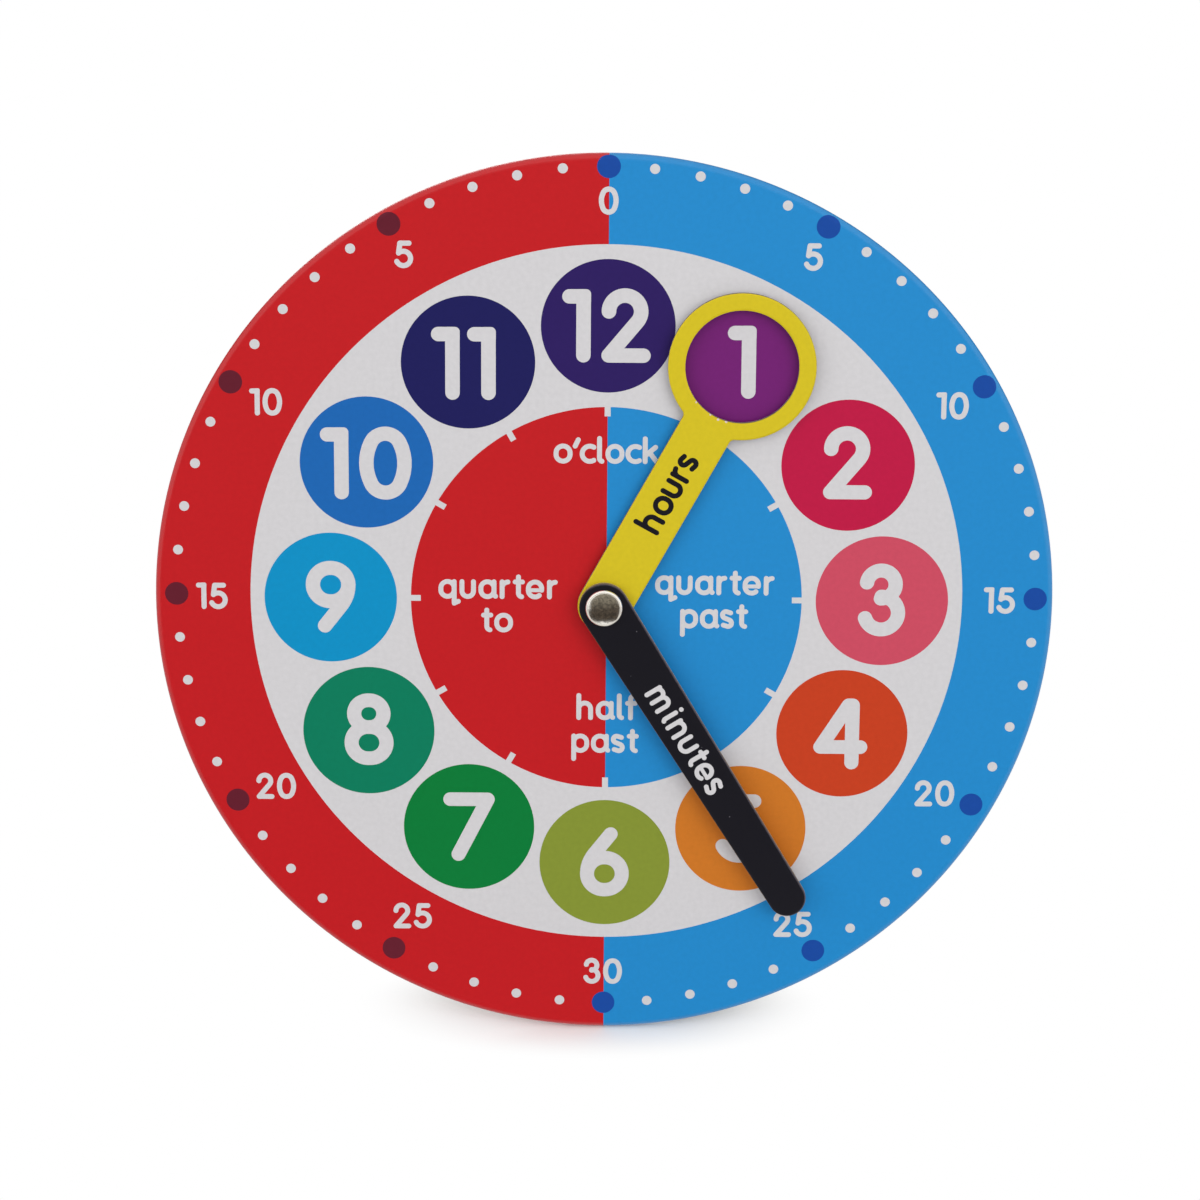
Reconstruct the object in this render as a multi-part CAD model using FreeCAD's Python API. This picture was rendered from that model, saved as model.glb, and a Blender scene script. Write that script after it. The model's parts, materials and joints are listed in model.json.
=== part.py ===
# Teaching clock: a round board dial, two card hands on one cap rivet, and an easel strut behind.
#
# Every piece is built in the dial's own frame, in millimetres: Z is the pivot axis, Z = 0 is the
# printed face with +Z out of it, and +Y runs up the face to the 12. The finished pieces are then
# leaned back until the rim and the foot of the opened strut stand on the plane Z = 0.
import FreeCAD, Part

import math
import os

from FreeCAD import Placement, Rotation, Vector

# --- Dial: a greyboard disc wrapped in a printed sheet -------------------------------------
DIAL_DIAMETER = 300.0
DIAL_BOARD = 3.6            # greyboard thickness
SHEET = 0.15                # every paper glued on a board
FRONT_ROUND = 2.3           # pressed round on the dial's front edge
BACK_ROUND = 0.6
TURN_IN = 12.0              # width of the sheet folded in behind the rim
LINER_MARGIN = 4.0          # from the rim to the edge of the back liner

# --- Pivot: a double-cap rivet with washers ------------------------------------------------
POST_RADIUS = 2.4           # hollow post that both hands turn on
POST_BORE = 1.6
RUNNING_CLEARANCE = 0.05    # on the radius, hands on the post
PRESS_CLEARANCE = 0.01      # on the radius, pieces pressed together
AXIAL_PLAY = 0.03           # above and below each hand
CAP_RADIUS = 6.25
CAP_HEIGHT = 2.3
CAP_METAL = 0.35            # cap shell thickness
CAP_ROLL = 0.75             # radius of the cap's rolled edge
CAP_CRIMP = 4.6             # radius that the cap's edge is crimped in to
CAP_GROOVE = 0.15           # depth of the groove between rolled edge and crown
FLANGE = 0.4                # flange thickness of stem and post, inside the caps
EYELET_RADIUS = 3.2         # eyelet that lines the hole in the dial
EYELET_FLANGE_RADIUS = 4.6
EYELET_METAL = 0.3
WASHER_RADIUS = 7.0
DIAL_WASHER = 1.5           # thickness, under the hour hand
HAND_WASHER = 1.0           # thickness, between the hands
REAR_WASHER = 0.8
SPRING_METAL = 0.3
SPRING_RISE = 0.5           # how far the curved spring washer bows
SPRING_RADIUS = 5.6

# --- Hands: card cut with a blade that presses the printed edge round ----------------------
HAND_BOARD = 1.7            # greyboard thickness
CUT_SLOPE = 50.0            # degrees the pressed edge has turned where it meets the cut wall
HOUR_ANGLE = 29.0           # degrees clockwise from 12
HOUR_REACH = 92.4           # pivot to the centre of the ring
STEM_WIDTH = 17.65
RING_RADIUS = 24.4
RING_WINDOW_RADIUS = 18.7
RING_FILLET = 2.0           # between stem and ring
HOUR_EDGE_ROUND = 0.9
MINUTE_ANGLE = 148.1
MINUTE_PAST_RING = 8.2      # how far its tip passes the hour hand's ring
MINUTE_HUB_RADIUS = 8.3
MINUTE_TIP_RADIUS = 6.3
MINUTE_EDGE_ROUND = 1.1

# --- Easel: a card glued on the back, a loose-pin hinge with a stop, and a strut ------------
CARD_BOARD = 2.0
CARD_WIDTH = 80.0
CARD_ABOVE = 36.0           # from the hinge pin up
CARD_BELOW = 16.0
CARD_CORNER = 6.0
HINGE_RISE = 60.0           # hinge pin above the pivot
HINGE_WIDTH = 56.0
LEAF_METAL = 0.8
LEAF_HEIGHT = 22.0
LEAF_CORNER = 4.0
KNUCKLE_RADIUS = 1.8
KNUCKLE_CLEARANCE = 0.15    # between a knuckle and the piece it turns past
KNUCKLE_END_GAP = 0.3
CENTRE_KNUCKLE = 26.0       # length of the strut leaf's knuckle
PIN_RADIUS = 1.0
STRUT_OPENING = 22.5        # degrees from folded flat to the stop
STRUT_BOARD = 2.4
STRUT_TOP_WIDTH = 48.0
STRUT_FOOT_WIDTH = 70.0
STRUT_TAIL = 9.0            # strut above the pin, bevelled where it meets the stop
STRUT_CORNER = 3.0
FOOT_INSET = 6.0            # from the folded foot to the rim
STOP_GAP = 0.02
RIVET_SHANK = 1.5           # radius
RIVET_HEAD = 3.0            # radius
RIVET_HEAD_HEIGHT = 0.8
RIVET_TAIL = 2.5            # radius of the rolled end
RIVET_TAIL_HEIGHT = 0.6
RIVET_COUNT = 3
RIVET_PITCH = 18.0
RIVET_FROM_PIN = 14.0

# --- Levels and radii that follow ------------------------------------------------------------
DIAL_RADIUS = DIAL_DIAMETER / 2
DIAL_THICKNESS = DIAL_BOARD + 2 * SHEET
HAND_THICKNESS = HAND_BOARD + 2 * SHEET
DIAL_WASHER_SEAT = EYELET_METAL
HOUR_BACK = DIAL_WASHER_SEAT + DIAL_WASHER + AXIAL_PLAY
HAND_WASHER_SEAT = HOUR_BACK + HAND_THICKNESS + AXIAL_PLAY
MINUTE_BACK = HAND_WASHER_SEAT + HAND_WASHER + AXIAL_PLAY
FRONT_CAP_SEAT = MINUTE_BACK + HAND_THICKNESS + AXIAL_PLAY
REAR_WASHER_SEAT = -DIAL_THICKNESS - EYELET_METAL
SPRING_SEAT = REAR_WASHER_SEAT - REAR_WASHER
REAR_CAP_SEAT = SPRING_SEAT - SPRING_METAL - SPRING_RISE
RUNNING_HOLE = POST_RADIUS + RUNNING_CLEARANCE
FLANGE_RADIUS = CAP_RADIUS - CAP_ROLL - PRESS_CLEARANCE
MINUTE_REACH = HOUR_REACH + RING_RADIUS + MINUTE_PAST_RING
CARD_SEAT = -DIAL_THICKNESS
CARD_BACK = CARD_SEAT - CARD_BOARD - SHEET
PIN_TO_LEAF = KNUCKLE_RADIUS + KNUCKLE_CLEARANCE
PIN_LEVEL = CARD_BACK - PIN_TO_LEAF
STRUT_FRONT = PIN_LEVEL - PIN_TO_LEAF
STRUT_LENGTH = HINGE_RISE + DIAL_RADIUS - FOOT_INSET
STRUT_THICKNESS = STRUT_BOARD + SHEET
RIVET_HOLE = RIVET_SHANK + PRESS_CLEARANCE
BEYOND = 10.0               # how far a cutting tool runs past what it cuts

UP = Vector(0, 0, 1)


# --- Shape helpers -----------------------------------------------------------------------------
def closed_wire(start, *steps):
    """Closed outline; a step is an end point, or a pair: a point on an arc and the arc's end."""
    edges, here = [], start
    for step in steps + (start,):
        if isinstance(step, tuple):
            via, end = step
            edges.append(Part.Arc(here, via, end).toShape())
        else:
            end = step
            if here.distanceToPoint(end) > 1e-6:
                edges.append(Part.LineSegment(here, end).toShape())
        here = end
    return Part.Wire(edges)


def profile(radius, level):
    """Point of a turned piece's half section."""
    return Vector(radius, 0, level)


def corner_arc(centre_radius, centre_level, radius, from_degrees, to_degrees):
    """Arc step of a half section, about a centre."""
    def on_arc(degrees):
        turn = math.radians(degrees)
        return profile(centre_radius + radius * math.cos(turn), centre_level + radius * math.sin(turn))
    return on_arc((from_degrees + to_degrees) / 2), on_arc(to_degrees)


def dome_step(edge_radius, edge_level, top_level):
    """Arc step of a half section, from the edge of a dome to its top on the axis."""
    rise = top_level - edge_level
    ball = (edge_radius ** 2 + rise ** 2) / (2 * rise)
    half_way = math.asin(edge_radius / abs(ball)) / 2
    via = profile(abs(ball) * math.sin(half_way), top_level - ball * (1 - math.cos(half_way)))
    return via, profile(0, top_level)


def turned(start, *steps):
    """Solid of revolution about the pivot axis."""
    return Part.Face(closed_wire(start, *steps)).revolve(Vector(), UP, 360)


def ring(inner_radius, outer_radius, bottom, top):
    return turned(profile(inner_radius, bottom), profile(outer_radius, bottom),
                  profile(outer_radius, top), profile(inner_radius, top))


def rod(radius, bottom, top, x=0.0, y=0.0):
    return Part.makeCylinder(radius, top - bottom, Vector(x, y, bottom))


def rod_across(radius, left, right):
    """Cylinder along the hinge pin's line."""
    return Part.makeCylinder(radius, right - left, Vector(left, HINGE_RISE, PIN_LEVEL), Vector(1, 0, 0))


def plate(wire, bottom, top):
    """Flat plate between two levels, from an outline at level 0."""
    face = Part.Face(wire)
    face.translate(UP * bottom)
    return face.extrude(UP * (top - bottom))


def four_sided(low_half, high_half, low_y, high_y):
    """Outline symmetrical about Y, with its own width at each end."""
    return closed_wire(Vector(-low_half, low_y), Vector(low_half, low_y),
                       Vector(high_half, high_y), Vector(-high_half, high_y))


def round_corners(solid, radius):
    """Round the edges that stand along Z."""
    standing = [edge for edge in solid.Edges
                if abs(abs(edge.tangentAt(edge.FirstParameter).z) - 1) < 1e-6]
    return solid.makeFillet(radius, standing)


def rivet_places(side):
    """X and Y of the rivets, side is +1 above the pin and -1 below it."""
    first = -RIVET_PITCH * (RIVET_COUNT - 1) / 2
    return [(first + RIVET_PITCH * index, HINGE_RISE + side * RIVET_FROM_PIN)
            for index in range(RIVET_COUNT)]


def pierced(solid, places, radius):
    """Holes right through, along Z."""
    box = solid.BoundBox
    for x, y in places:
        solid = solid.cut(rod(radius, box.ZMin - BEYOND, box.ZMax + BEYOND, x, y))
    return solid


# --- Dial -----------------------------------------------------------------------------------------
def rim_steps(inset):
    """Half section round the rim, from the front face to the back, set in from the surface."""
    front, back = DIAL_RADIUS - FRONT_ROUND, DIAL_RADIUS - BACK_ROUND
    return (profile(front, -inset),
            corner_arc(front, -FRONT_ROUND, FRONT_ROUND - inset, 90, 0),
            profile(DIAL_RADIUS - inset, BACK_ROUND - DIAL_THICKNESS),
            corner_arc(back, BACK_ROUND - DIAL_THICKNESS, BACK_ROUND - inset, 0, -90))


def dial_board():
    hole = EYELET_RADIUS + PRESS_CLEARANCE
    return turned(profile(hole, -SHEET), *rim_steps(SHEET), profile(hole, SHEET - DIAL_THICKNESS))


def dial_print_sheet():
    """Printed sheet on the face, round the rim and turned in behind."""
    hole = EYELET_RADIUS + PRESS_CLEARANCE
    edge = DIAL_RADIUS - TURN_IN
    wrapped = turned(profile(hole, 0), *rim_steps(0), profile(edge, -DIAL_THICKNESS),
                     profile(edge, SHEET - DIAL_THICKNESS), profile(hole, SHEET - DIAL_THICKNESS))
    return wrapped.cut(dial_board())


def dial_liner():
    """Back sheet, which steps up over the turned-in edge."""
    hole = EYELET_RADIUS + PRESS_CLEARANCE
    step, edge = DIAL_RADIUS - TURN_IN, DIAL_RADIUS - LINER_MARGIN
    board, sheet, top = SHEET - DIAL_THICKNESS, -DIAL_THICKNESS, -DIAL_THICKNESS - SHEET
    return turned(profile(hole, board), profile(step, board), profile(step, sheet),
                  profile(edge, sheet), profile(edge, top), profile(step - SHEET, top),
                  profile(step - SHEET, sheet), profile(hole, sheet))


def dial_eyelet():
    inner = RUNNING_HOLE
    back = -DIAL_THICKNESS
    return turned(profile(inner, back - EYELET_METAL), profile(EYELET_FLANGE_RADIUS, back - EYELET_METAL),
                  profile(EYELET_FLANGE_RADIUS, back), profile(EYELET_RADIUS, back),
                  profile(EYELET_RADIUS, 0), profile(EYELET_FLANGE_RADIUS, 0),
                  profile(EYELET_FLANGE_RADIUS, EYELET_METAL), profile(inner, EYELET_METAL))


# --- Pivot ----------------------------------------------------------------------------------------
def washer(seat, thickness):
    return ring(RUNNING_HOLE, WASHER_RADIUS, seat, seat + thickness)


def spring_washer():
    """Curved washer: a bent strip of sheet, its crown against the flat rear washer."""
    crown = SPRING_SEAT
    bend = (SPRING_RADIUS ** 2 + SPRING_RISE ** 2) / (2 * SPRING_RISE)
    centre = Vector(-SPRING_RADIUS - BEYOND, 0, crown - SPRING_METAL - bend)
    across = 2 * (SPRING_RADIUS + BEYOND)
    sheet = Part.makeCylinder(bend + SPRING_METAL, across, centre, Vector(1, 0, 0))
    sheet = sheet.cut(Part.makeCylinder(bend, across, centre, Vector(1, 0, 0)))
    return sheet.common(ring(RUNNING_HOLE, SPRING_RADIUS, crown - BEYOND, crown + BEYOND))


def cap():
    """Cap shell with its crimped edge on level 0 and its crown upwards."""
    roll = CAP_RADIUS - CAP_ROLL
    shoulder = 2 * CAP_ROLL
    groove_radius, groove = roll - 2 * CAP_GROOVE, shoulder - CAP_GROOVE
    outside = turned(profile(0, 0), profile(roll, 0), corner_arc(roll, CAP_ROLL, CAP_ROLL, -90, 90),
                     profile(groove_radius, groove), dome_step(groove_radius, groove, CAP_HEIGHT))
    inside = turned(profile(0, CAP_METAL), profile(roll, CAP_METAL),
                    corner_arc(roll, CAP_ROLL, CAP_ROLL - CAP_METAL, -90, 90),
                    profile(groove_radius, groove - CAP_METAL),
                    dome_step(groove_radius, groove - CAP_METAL, CAP_HEIGHT - CAP_METAL))
    return outside.cut(inside).cut(rod(CAP_CRIMP, -BEYOND, CAP_ROLL))


def rivet_front_cap():
    return cap().translated(UP * FRONT_CAP_SEAT)


def rivet_rear_cap():
    return cap().rotated(Vector(), Vector(1, 0, 0), 180).translated(UP * REAR_CAP_SEAT)


def rivet_stem():
    """Male half: a flange inside the front cap and a stem pressed into the post."""
    radius = POST_BORE - PRESS_CLEARANCE
    seat, end = FRONT_CAP_SEAT + CAP_METAL, REAR_CAP_SEAT - CAP_METAL
    return turned(profile(0, end), profile(radius / 2, end), profile(radius, end + radius),
                  profile(radius, seat), profile(FLANGE_RADIUS, seat),
                  profile(FLANGE_RADIUS, seat + FLANGE), profile(0, seat + FLANGE))


def rivet_post():
    """Female half: a flange inside the rear cap and the hollow post."""
    seat, end = REAR_CAP_SEAT - CAP_METAL, FRONT_CAP_SEAT + CAP_METAL
    return turned(profile(POST_BORE, seat - FLANGE), profile(FLANGE_RADIUS, seat - FLANGE),
                  profile(FLANGE_RADIUS, seat), profile(POST_RADIUS, seat),
                  profile(POST_RADIUS, end), profile(POST_BORE, end))


# --- Hands ----------------------------------------------------------------------------------------
def hour_outline():
    """Stem with a round hub end and a ring, pointing along +Y."""
    half = STEM_WIDTH / 2
    side, reach = half + RING_FILLET, RING_RADIUS + RING_FILLET
    drop = math.sqrt(reach ** 2 - side ** 2)
    corner = Vector(side, HOUR_REACH - drop)
    on_stem = Vector(half, corner.y)
    on_ring = Vector(0, HOUR_REACH) + Vector(side, -drop) * (RING_RADIUS / reach)
    inward = (on_stem - corner) + (on_ring - corner)
    between = corner + inward.normalize() * RING_FILLET

    def mirrored(point):
        return Vector(-point.x, point.y)

    return closed_wire(Vector(half, 0), on_stem, (between, on_ring),
                       (Vector(0, HOUR_REACH + RING_RADIUS), mirrored(on_ring)),
                       (mirrored(between), mirrored(on_stem)), Vector(-half, 0),
                       (Vector(0, -half), Vector(half, 0)))


def minute_outline():
    """Tapered hand between two round ends, pointing along +Y."""
    tip_centre = MINUTE_REACH - MINUTE_TIP_RADIUS
    lift = math.asin((MINUTE_HUB_RADIUS - MINUTE_TIP_RADIUS) / tip_centre)
    sideways = Vector(math.cos(lift), math.sin(lift))
    hub, tip = sideways * MINUTE_HUB_RADIUS, sideways * MINUTE_TIP_RADIUS + Vector(0, tip_centre)
    return closed_wire(hub, tip, (Vector(0, MINUTE_REACH), Vector(-tip.x, tip.y)),
                       Vector(-hub.x, hub.y), (Vector(0, -MINUTE_HUB_RADIUS), hub))


def pressed_plate(outline, windows, growth, bottom, top, edge_round):
    """Plate whose top edges are rounded, made larger by growth; windows are (y, radius)."""
    solid = plate(outline.makeOffset2D(growth) if growth else outline, bottom, top)
    for y, radius in windows:
        solid = solid.cut(rod(radius - growth, bottom - BEYOND, top + BEYOND, 0, y))
    upper = [edge for edge in solid.Edges if edge.BoundBox.ZMin > top - 1e-4]
    return solid.makeFillet(edge_round, upper) if edge_round else solid


def hand(outline, windows, back, edge_round, angle):
    """Board, printed face and backing of one hand, turned to its hour."""
    top = back + HAND_THICKNESS
    growth = edge_round * (1 - math.sin(math.radians(CUT_SLOPE)))
    blade = pressed_plate(outline, windows, 0, back, top, 0)
    blade = blade.cut(rod(RUNNING_HOLE, back - BEYOND, top + BEYOND))
    outside = pressed_plate(outline, windows, growth, back - BEYOND, top, edge_round)
    inside = pressed_plate(outline, windows, growth - SHEET, back - BEYOND, top - SHEET,
                           edge_round - SHEET)
    lowest = rod(DIAL_RADIUS, back - BEYOND, back + SHEET)
    printed = blade.common(outside).cut(inside)
    board = blade.common(inside).cut(lowest)
    backing = blade.common(lowest)
    return [piece.rotated(Vector(), UP, -angle) for piece in (board, printed, backing)]


def hour_hand():
    return hand(hour_outline(), [(HOUR_REACH, RING_WINDOW_RADIUS)], HOUR_BACK, HOUR_EDGE_ROUND, HOUR_ANGLE)


def minute_hand():
    return hand(minute_outline(), [], MINUTE_BACK, MINUTE_EDGE_ROUND, MINUTE_ANGLE)


# --- Easel ----------------------------------------------------------------------------------------
def card_blank(growth, front, back):
    half = CARD_WIDTH / 2 + growth
    outline = four_sided(half, half, HINGE_RISE - CARD_BELOW - growth, HINGE_RISE + CARD_ABOVE + growth)
    return round_corners(plate(outline, back, front), CARD_CORNER + growth)


def easel_card():
    """Board glued on the dial's back, with sunk seats for the rivet heads."""
    board = pierced(card_blank(0, CARD_SEAT, CARD_SEAT - CARD_BOARD), rivet_places(1), RIVET_HOLE)
    for x, y in rivet_places(1):
        board = board.cut(rod(RIVET_HEAD + PRESS_CLEARANCE, CARD_SEAT - RIVET_HEAD_HEIGHT,
                              CARD_SEAT + BEYOND, x, y))
    return board


def easel_card_cover():
    wrapped = card_blank(SHEET, CARD_SEAT, CARD_BACK)
    return pierced(wrapped.cut(card_blank(0, CARD_SEAT, CARD_SEAT - CARD_BOARD)),
                   rivet_places(1), RIVET_HOLE)


def hinge_leaf(side, spans, bore):
    """Leaf and its knuckles; side is +1 for the leaf above the pin, which lies nearer the dial."""
    outer = PIN_LEVEL + side * PIN_TO_LEAF
    inner = outer - side * LEAF_METAL
    far = HINGE_RISE + side * LEAF_HEIGHT
    half = HINGE_WIDTH / 2
    levels, heights = sorted((outer, inner)), sorted((HINGE_RISE + side * PIN_TO_LEAF, far))
    leaf = plate(four_sided(half, half, *heights), *levels)
    ends = [edge for edge in leaf.Edges
            if abs(edge.BoundBox.YMin - far) < 1e-6 and edge.BoundBox.ZLength > LEAF_METAL / 2]
    leaf = leaf.makeFillet(LEAF_CORNER, ends)
    for left, right in spans:
        web = plate(closed_wire(Vector(left, HINGE_RISE), Vector(right, HINGE_RISE),
                                Vector(right, HINGE_RISE + side * (PIN_TO_LEAF + LEAF_METAL)),
                                Vector(left, HINGE_RISE + side * (PIN_TO_LEAF + LEAF_METAL))), *levels)
        leaf = leaf.fuse([web, rod_across(KNUCKLE_RADIUS, left, right)])
    leaf = leaf.cut(rod_across(bore, -half - BEYOND, half + BEYOND)).removeSplitter()
    return pierced(leaf, rivet_places(side), RIVET_HOLE)


def fixed_hinge_leaf():
    half, clear = HINGE_WIDTH / 2, CENTRE_KNUCKLE / 2 + KNUCKLE_END_GAP
    return hinge_leaf(1, [(-half, -clear), (clear, half)], PIN_RADIUS + PRESS_CLEARANCE)


def strut_hinge_leaf():
    half = CENTRE_KNUCKLE / 2
    return hinge_leaf(-1, [(-half, half)], PIN_RADIUS + RUNNING_CLEARANCE)


def hinge_pin():
    return rod_across(PIN_RADIUS, -HINGE_WIDTH / 2, HINGE_WIDTH / 2)


def rivet(head_seat, tail_seat, flat_head):
    """Rivet along Z from its head seat to its rolled tail, whichever way that is."""
    way = math.copysign(1, tail_seat - head_seat)
    top, under = head_seat - way * RIVET_HEAD_HEIGHT, tail_seat + way * RIVET_TAIL_HEIGHT
    diagonal = math.sqrt(0.5)
    rolled = profile(RIVET_SHANK + (RIVET_TAIL - RIVET_SHANK) * diagonal,
                     tail_seat + way * RIVET_TAIL_HEIGHT * diagonal)
    head = (profile(RIVET_HEAD, top), profile(0, top))
    if not flat_head:
        head = (dome_step(RIVET_HEAD, head_seat, top),)
    return turned(profile(0, under), profile(RIVET_SHANK, under), (rolled, profile(RIVET_TAIL, tail_seat)),
                  profile(RIVET_SHANK, tail_seat), profile(RIVET_SHANK, head_seat),
                  profile(RIVET_HEAD, head_seat), *head)


def rivet_row(side, head_seat, tail_seat, flat_head):
    one = rivet(head_seat, tail_seat, flat_head)
    return Part.Compound([one.translated(Vector(x, y, 0)) for x, y in rivet_places(side)])


def card_rivets():
    """Flat heads sunk in the card's glued face, tails rolled over on the leaf."""
    return rivet_row(1, CARD_SEAT - RIVET_HEAD_HEIGHT, CARD_BACK - LEAF_METAL, True)


def strut_rivets():
    """Domed heads on the strut's back, tails rolled over on the leaf."""
    return rivet_row(-1, STRUT_FRONT - STRUT_THICKNESS, STRUT_FRONT + LEAF_METAL, False)


def strut_blank(growth, back):
    outline = four_sided(STRUT_FOOT_WIDTH / 2 + growth, STRUT_TOP_WIDTH / 2 + growth,
                         HINGE_RISE - STRUT_LENGTH - BEYOND, HINGE_RISE + STRUT_TAIL + growth)
    blank = plate(outline, back, STRUT_FRONT)
    top = [edge for edge in blank.Edges
           if edge.BoundBox.YMin > HINGE_RISE and edge.BoundBox.ZLength > STRUT_BOARD / 2]
    return blank.makeFillet(STRUT_CORNER + growth, top)


def strut_pieces():
    """Board and cover, folded flat and still too long at both ends."""
    board = strut_blank(0, STRUT_FRONT - STRUT_BOARD)
    cover = strut_blank(SHEET, STRUT_FRONT - STRUT_THICKNESS).cut(board)
    return [pierced(piece, rivet_places(-1), RIVET_HOLE) for piece in (board, cover)]


# --- Assembly ---------------------------------------------------------------------------------------
def opened(piece):
    """Swing a piece of the folded strut out to the stop."""
    return piece.rotated(Vector(0, HINGE_RISE, PIN_LEVEL), Vector(1, 0, 0), STRUT_OPENING)


def lean_angle():
    """Degrees the dial leans back when its back edge and the opened strut's foot share a floor."""
    turn = math.radians(STRUT_OPENING)
    depth = PIN_TO_LEAF + STRUT_THICKNESS
    foot_y = HINGE_RISE - STRUT_LENGTH * math.cos(turn) + depth * math.sin(turn)
    foot_z = PIN_LEVEL - STRUT_LENGTH * math.sin(turn) - depth * math.cos(turn)
    rise = foot_y + DIAL_RADIUS - BACK_ROUND
    back = foot_z + DIAL_THICKNESS - BACK_ROUND
    return math.degrees(math.atan2(back, rise) + math.acos(-BACK_ROUND / math.hypot(rise, back)))


def standing_height(lean):
    """Height of the pivot on the dial's face above the floor."""
    turn = math.radians(lean)
    return ((DIAL_RADIUS - BACK_ROUND) * math.cos(turn)
            + (DIAL_THICKNESS - BACK_ROUND) * math.sin(turn) + BACK_ROUND)


def standing(y):
    """Placement of the dial's frame on the floor, with the pivot at depth y."""
    lean = lean_angle()
    return Placement(Vector(0, y, standing_height(lean)), Rotation(Vector(1, 0, 0), 90 - lean))


def trimmed_strut():
    """Strut cut flush with the floor, and bevelled to lie on the fixed leaf at the stop."""
    size = 4 * DIAL_RADIUS
    leaf_back = CARD_BACK - LEAF_METAL - STOP_GAP
    ahead = Part.makeBox(size, size, size, Vector(-size / 2, -size / 2, leaf_back))
    below = Part.makeBox(size, size, size, Vector(-size / 2, -size / 2, -size))
    below.Placement = standing(0).inverse().multiply(below.Placement)
    return [opened(piece).cut(ahead).cut(below) for piece in strut_pieces()]


def dial_frame_pieces():
    """Every piece by node name, in the dial's frame."""
    hour_board, hour_print, hour_backing = hour_hand()
    minute_board, minute_print, minute_backing = minute_hand()
    strut_board, strut_cover = trimmed_strut()
    return {
        "dial_board": dial_board(),
        "dial_print_sheet": dial_print_sheet(),
        "dial_liner": dial_liner(),
        "dial_eyelet": dial_eyelet(),
        "dial_washer": washer(DIAL_WASHER_SEAT, DIAL_WASHER),
        "hand_washer": washer(HAND_WASHER_SEAT, HAND_WASHER),
        "rivet_front_cap": rivet_front_cap(),
        "rivet_stem": rivet_stem(),
        "rivet_post": rivet_post(),
        "rivet_rear_cap": rivet_rear_cap(),
        "rear_washer": washer(SPRING_SEAT, REAR_WASHER),
        "spring_washer": spring_washer(),
        "hour_hand_board": hour_board,
        "hour_hand_print": hour_print,
        "hour_hand_backing": hour_backing,
        "minute_hand_board": minute_board,
        "minute_hand_print": minute_print,
        "minute_hand_backing": minute_backing,
        "easel_card": easel_card(),
        "easel_card_cover": easel_card_cover(),
        "fixed_hinge_leaf": fixed_hinge_leaf(),
        "card_rivets": card_rivets(),
        "hinge_pin": hinge_pin(),
        "strut_board": strut_board,
        "strut_cover": strut_cover,
        "strut_hinge_leaf": opened(strut_hinge_leaf()),
        "strut_rivets": opened(strut_rivets()),
    }


def stood_up(pieces, y):
    """The pieces on the floor, with the pivot at depth y."""
    place, stood = standing(y), {}
    for name, piece in pieces.items():
        stood[name] = piece.copy()
        stood[name].Placement = place.multiply(piece.Placement)
    return stood


def depth_centre(pieces):
    """Depth halfway between the front and back of the standing clock."""
    boxes = [piece.optimalBoundingBox(False, False) for piece in stood_up(pieces, 0).values()]
    return (min(box.YMin for box in boxes) + max(box.YMax for box in boxes)) / 2


def main():
    pieces = dial_frame_pieces()
    pieces = stood_up(pieces, -depth_centre(pieces))
    os.makedirs("parts", exist_ok=True)
    for name, piece in pieces.items():
        piece.exportStep("parts/" + name + ".step")


main()
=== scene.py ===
import json
import math

import bmesh
import bpy
from mathutils import Matrix, Quaternion, Vector
from mathutils.geometry import delaunay_2d_cdt


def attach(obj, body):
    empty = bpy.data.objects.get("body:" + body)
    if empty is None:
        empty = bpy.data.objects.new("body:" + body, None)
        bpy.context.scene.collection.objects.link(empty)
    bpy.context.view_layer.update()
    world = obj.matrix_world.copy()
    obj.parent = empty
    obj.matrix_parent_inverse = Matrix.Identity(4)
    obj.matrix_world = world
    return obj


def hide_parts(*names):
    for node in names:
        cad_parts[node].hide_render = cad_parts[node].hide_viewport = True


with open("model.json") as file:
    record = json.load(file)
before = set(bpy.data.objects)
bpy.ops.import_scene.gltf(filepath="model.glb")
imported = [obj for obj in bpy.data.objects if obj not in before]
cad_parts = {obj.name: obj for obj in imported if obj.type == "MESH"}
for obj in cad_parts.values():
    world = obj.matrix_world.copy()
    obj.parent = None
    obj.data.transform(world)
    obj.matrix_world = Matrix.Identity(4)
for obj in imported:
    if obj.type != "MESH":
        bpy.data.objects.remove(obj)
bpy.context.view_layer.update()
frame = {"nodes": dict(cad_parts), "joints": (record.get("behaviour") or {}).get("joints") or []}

# ----------------------------------------------------------
# Camera. It stands straight in front of the clock and above it, looks down at the middle of the
# dial, and leans a very little to the left. The dial's own frame is in millimetres: x to the
# right, y up the face, z out of it, from the pivot.
# ----------------------------------------------------------
MM = 0.001
AIM = (-1.37, 1.22)                 # on the dial, mm
CAMERA_DISTANCE = 1.1565
CAMERA_ELEVATION = math.radians(28.38)
CAMERA_ROLL = math.radians(0.384)
LENS = 103.84                       # for a film 36 mm wide

hands_joint = next(joint for joint in frame["joints"] if joint["name"] == "hour_hand_turn")
pivot = Vector(hands_joint["pos_m"])
outward = Vector(hands_joint["axis"]).normalized()
rightward = Vector((1, 0, 0))
axes = Matrix((rightward, outward.cross(rightward), outward)).transposed().to_4x4()
DIAL = Matrix.Translation(pivot) @ axes @ Matrix.Scale(MM, 4)

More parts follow.
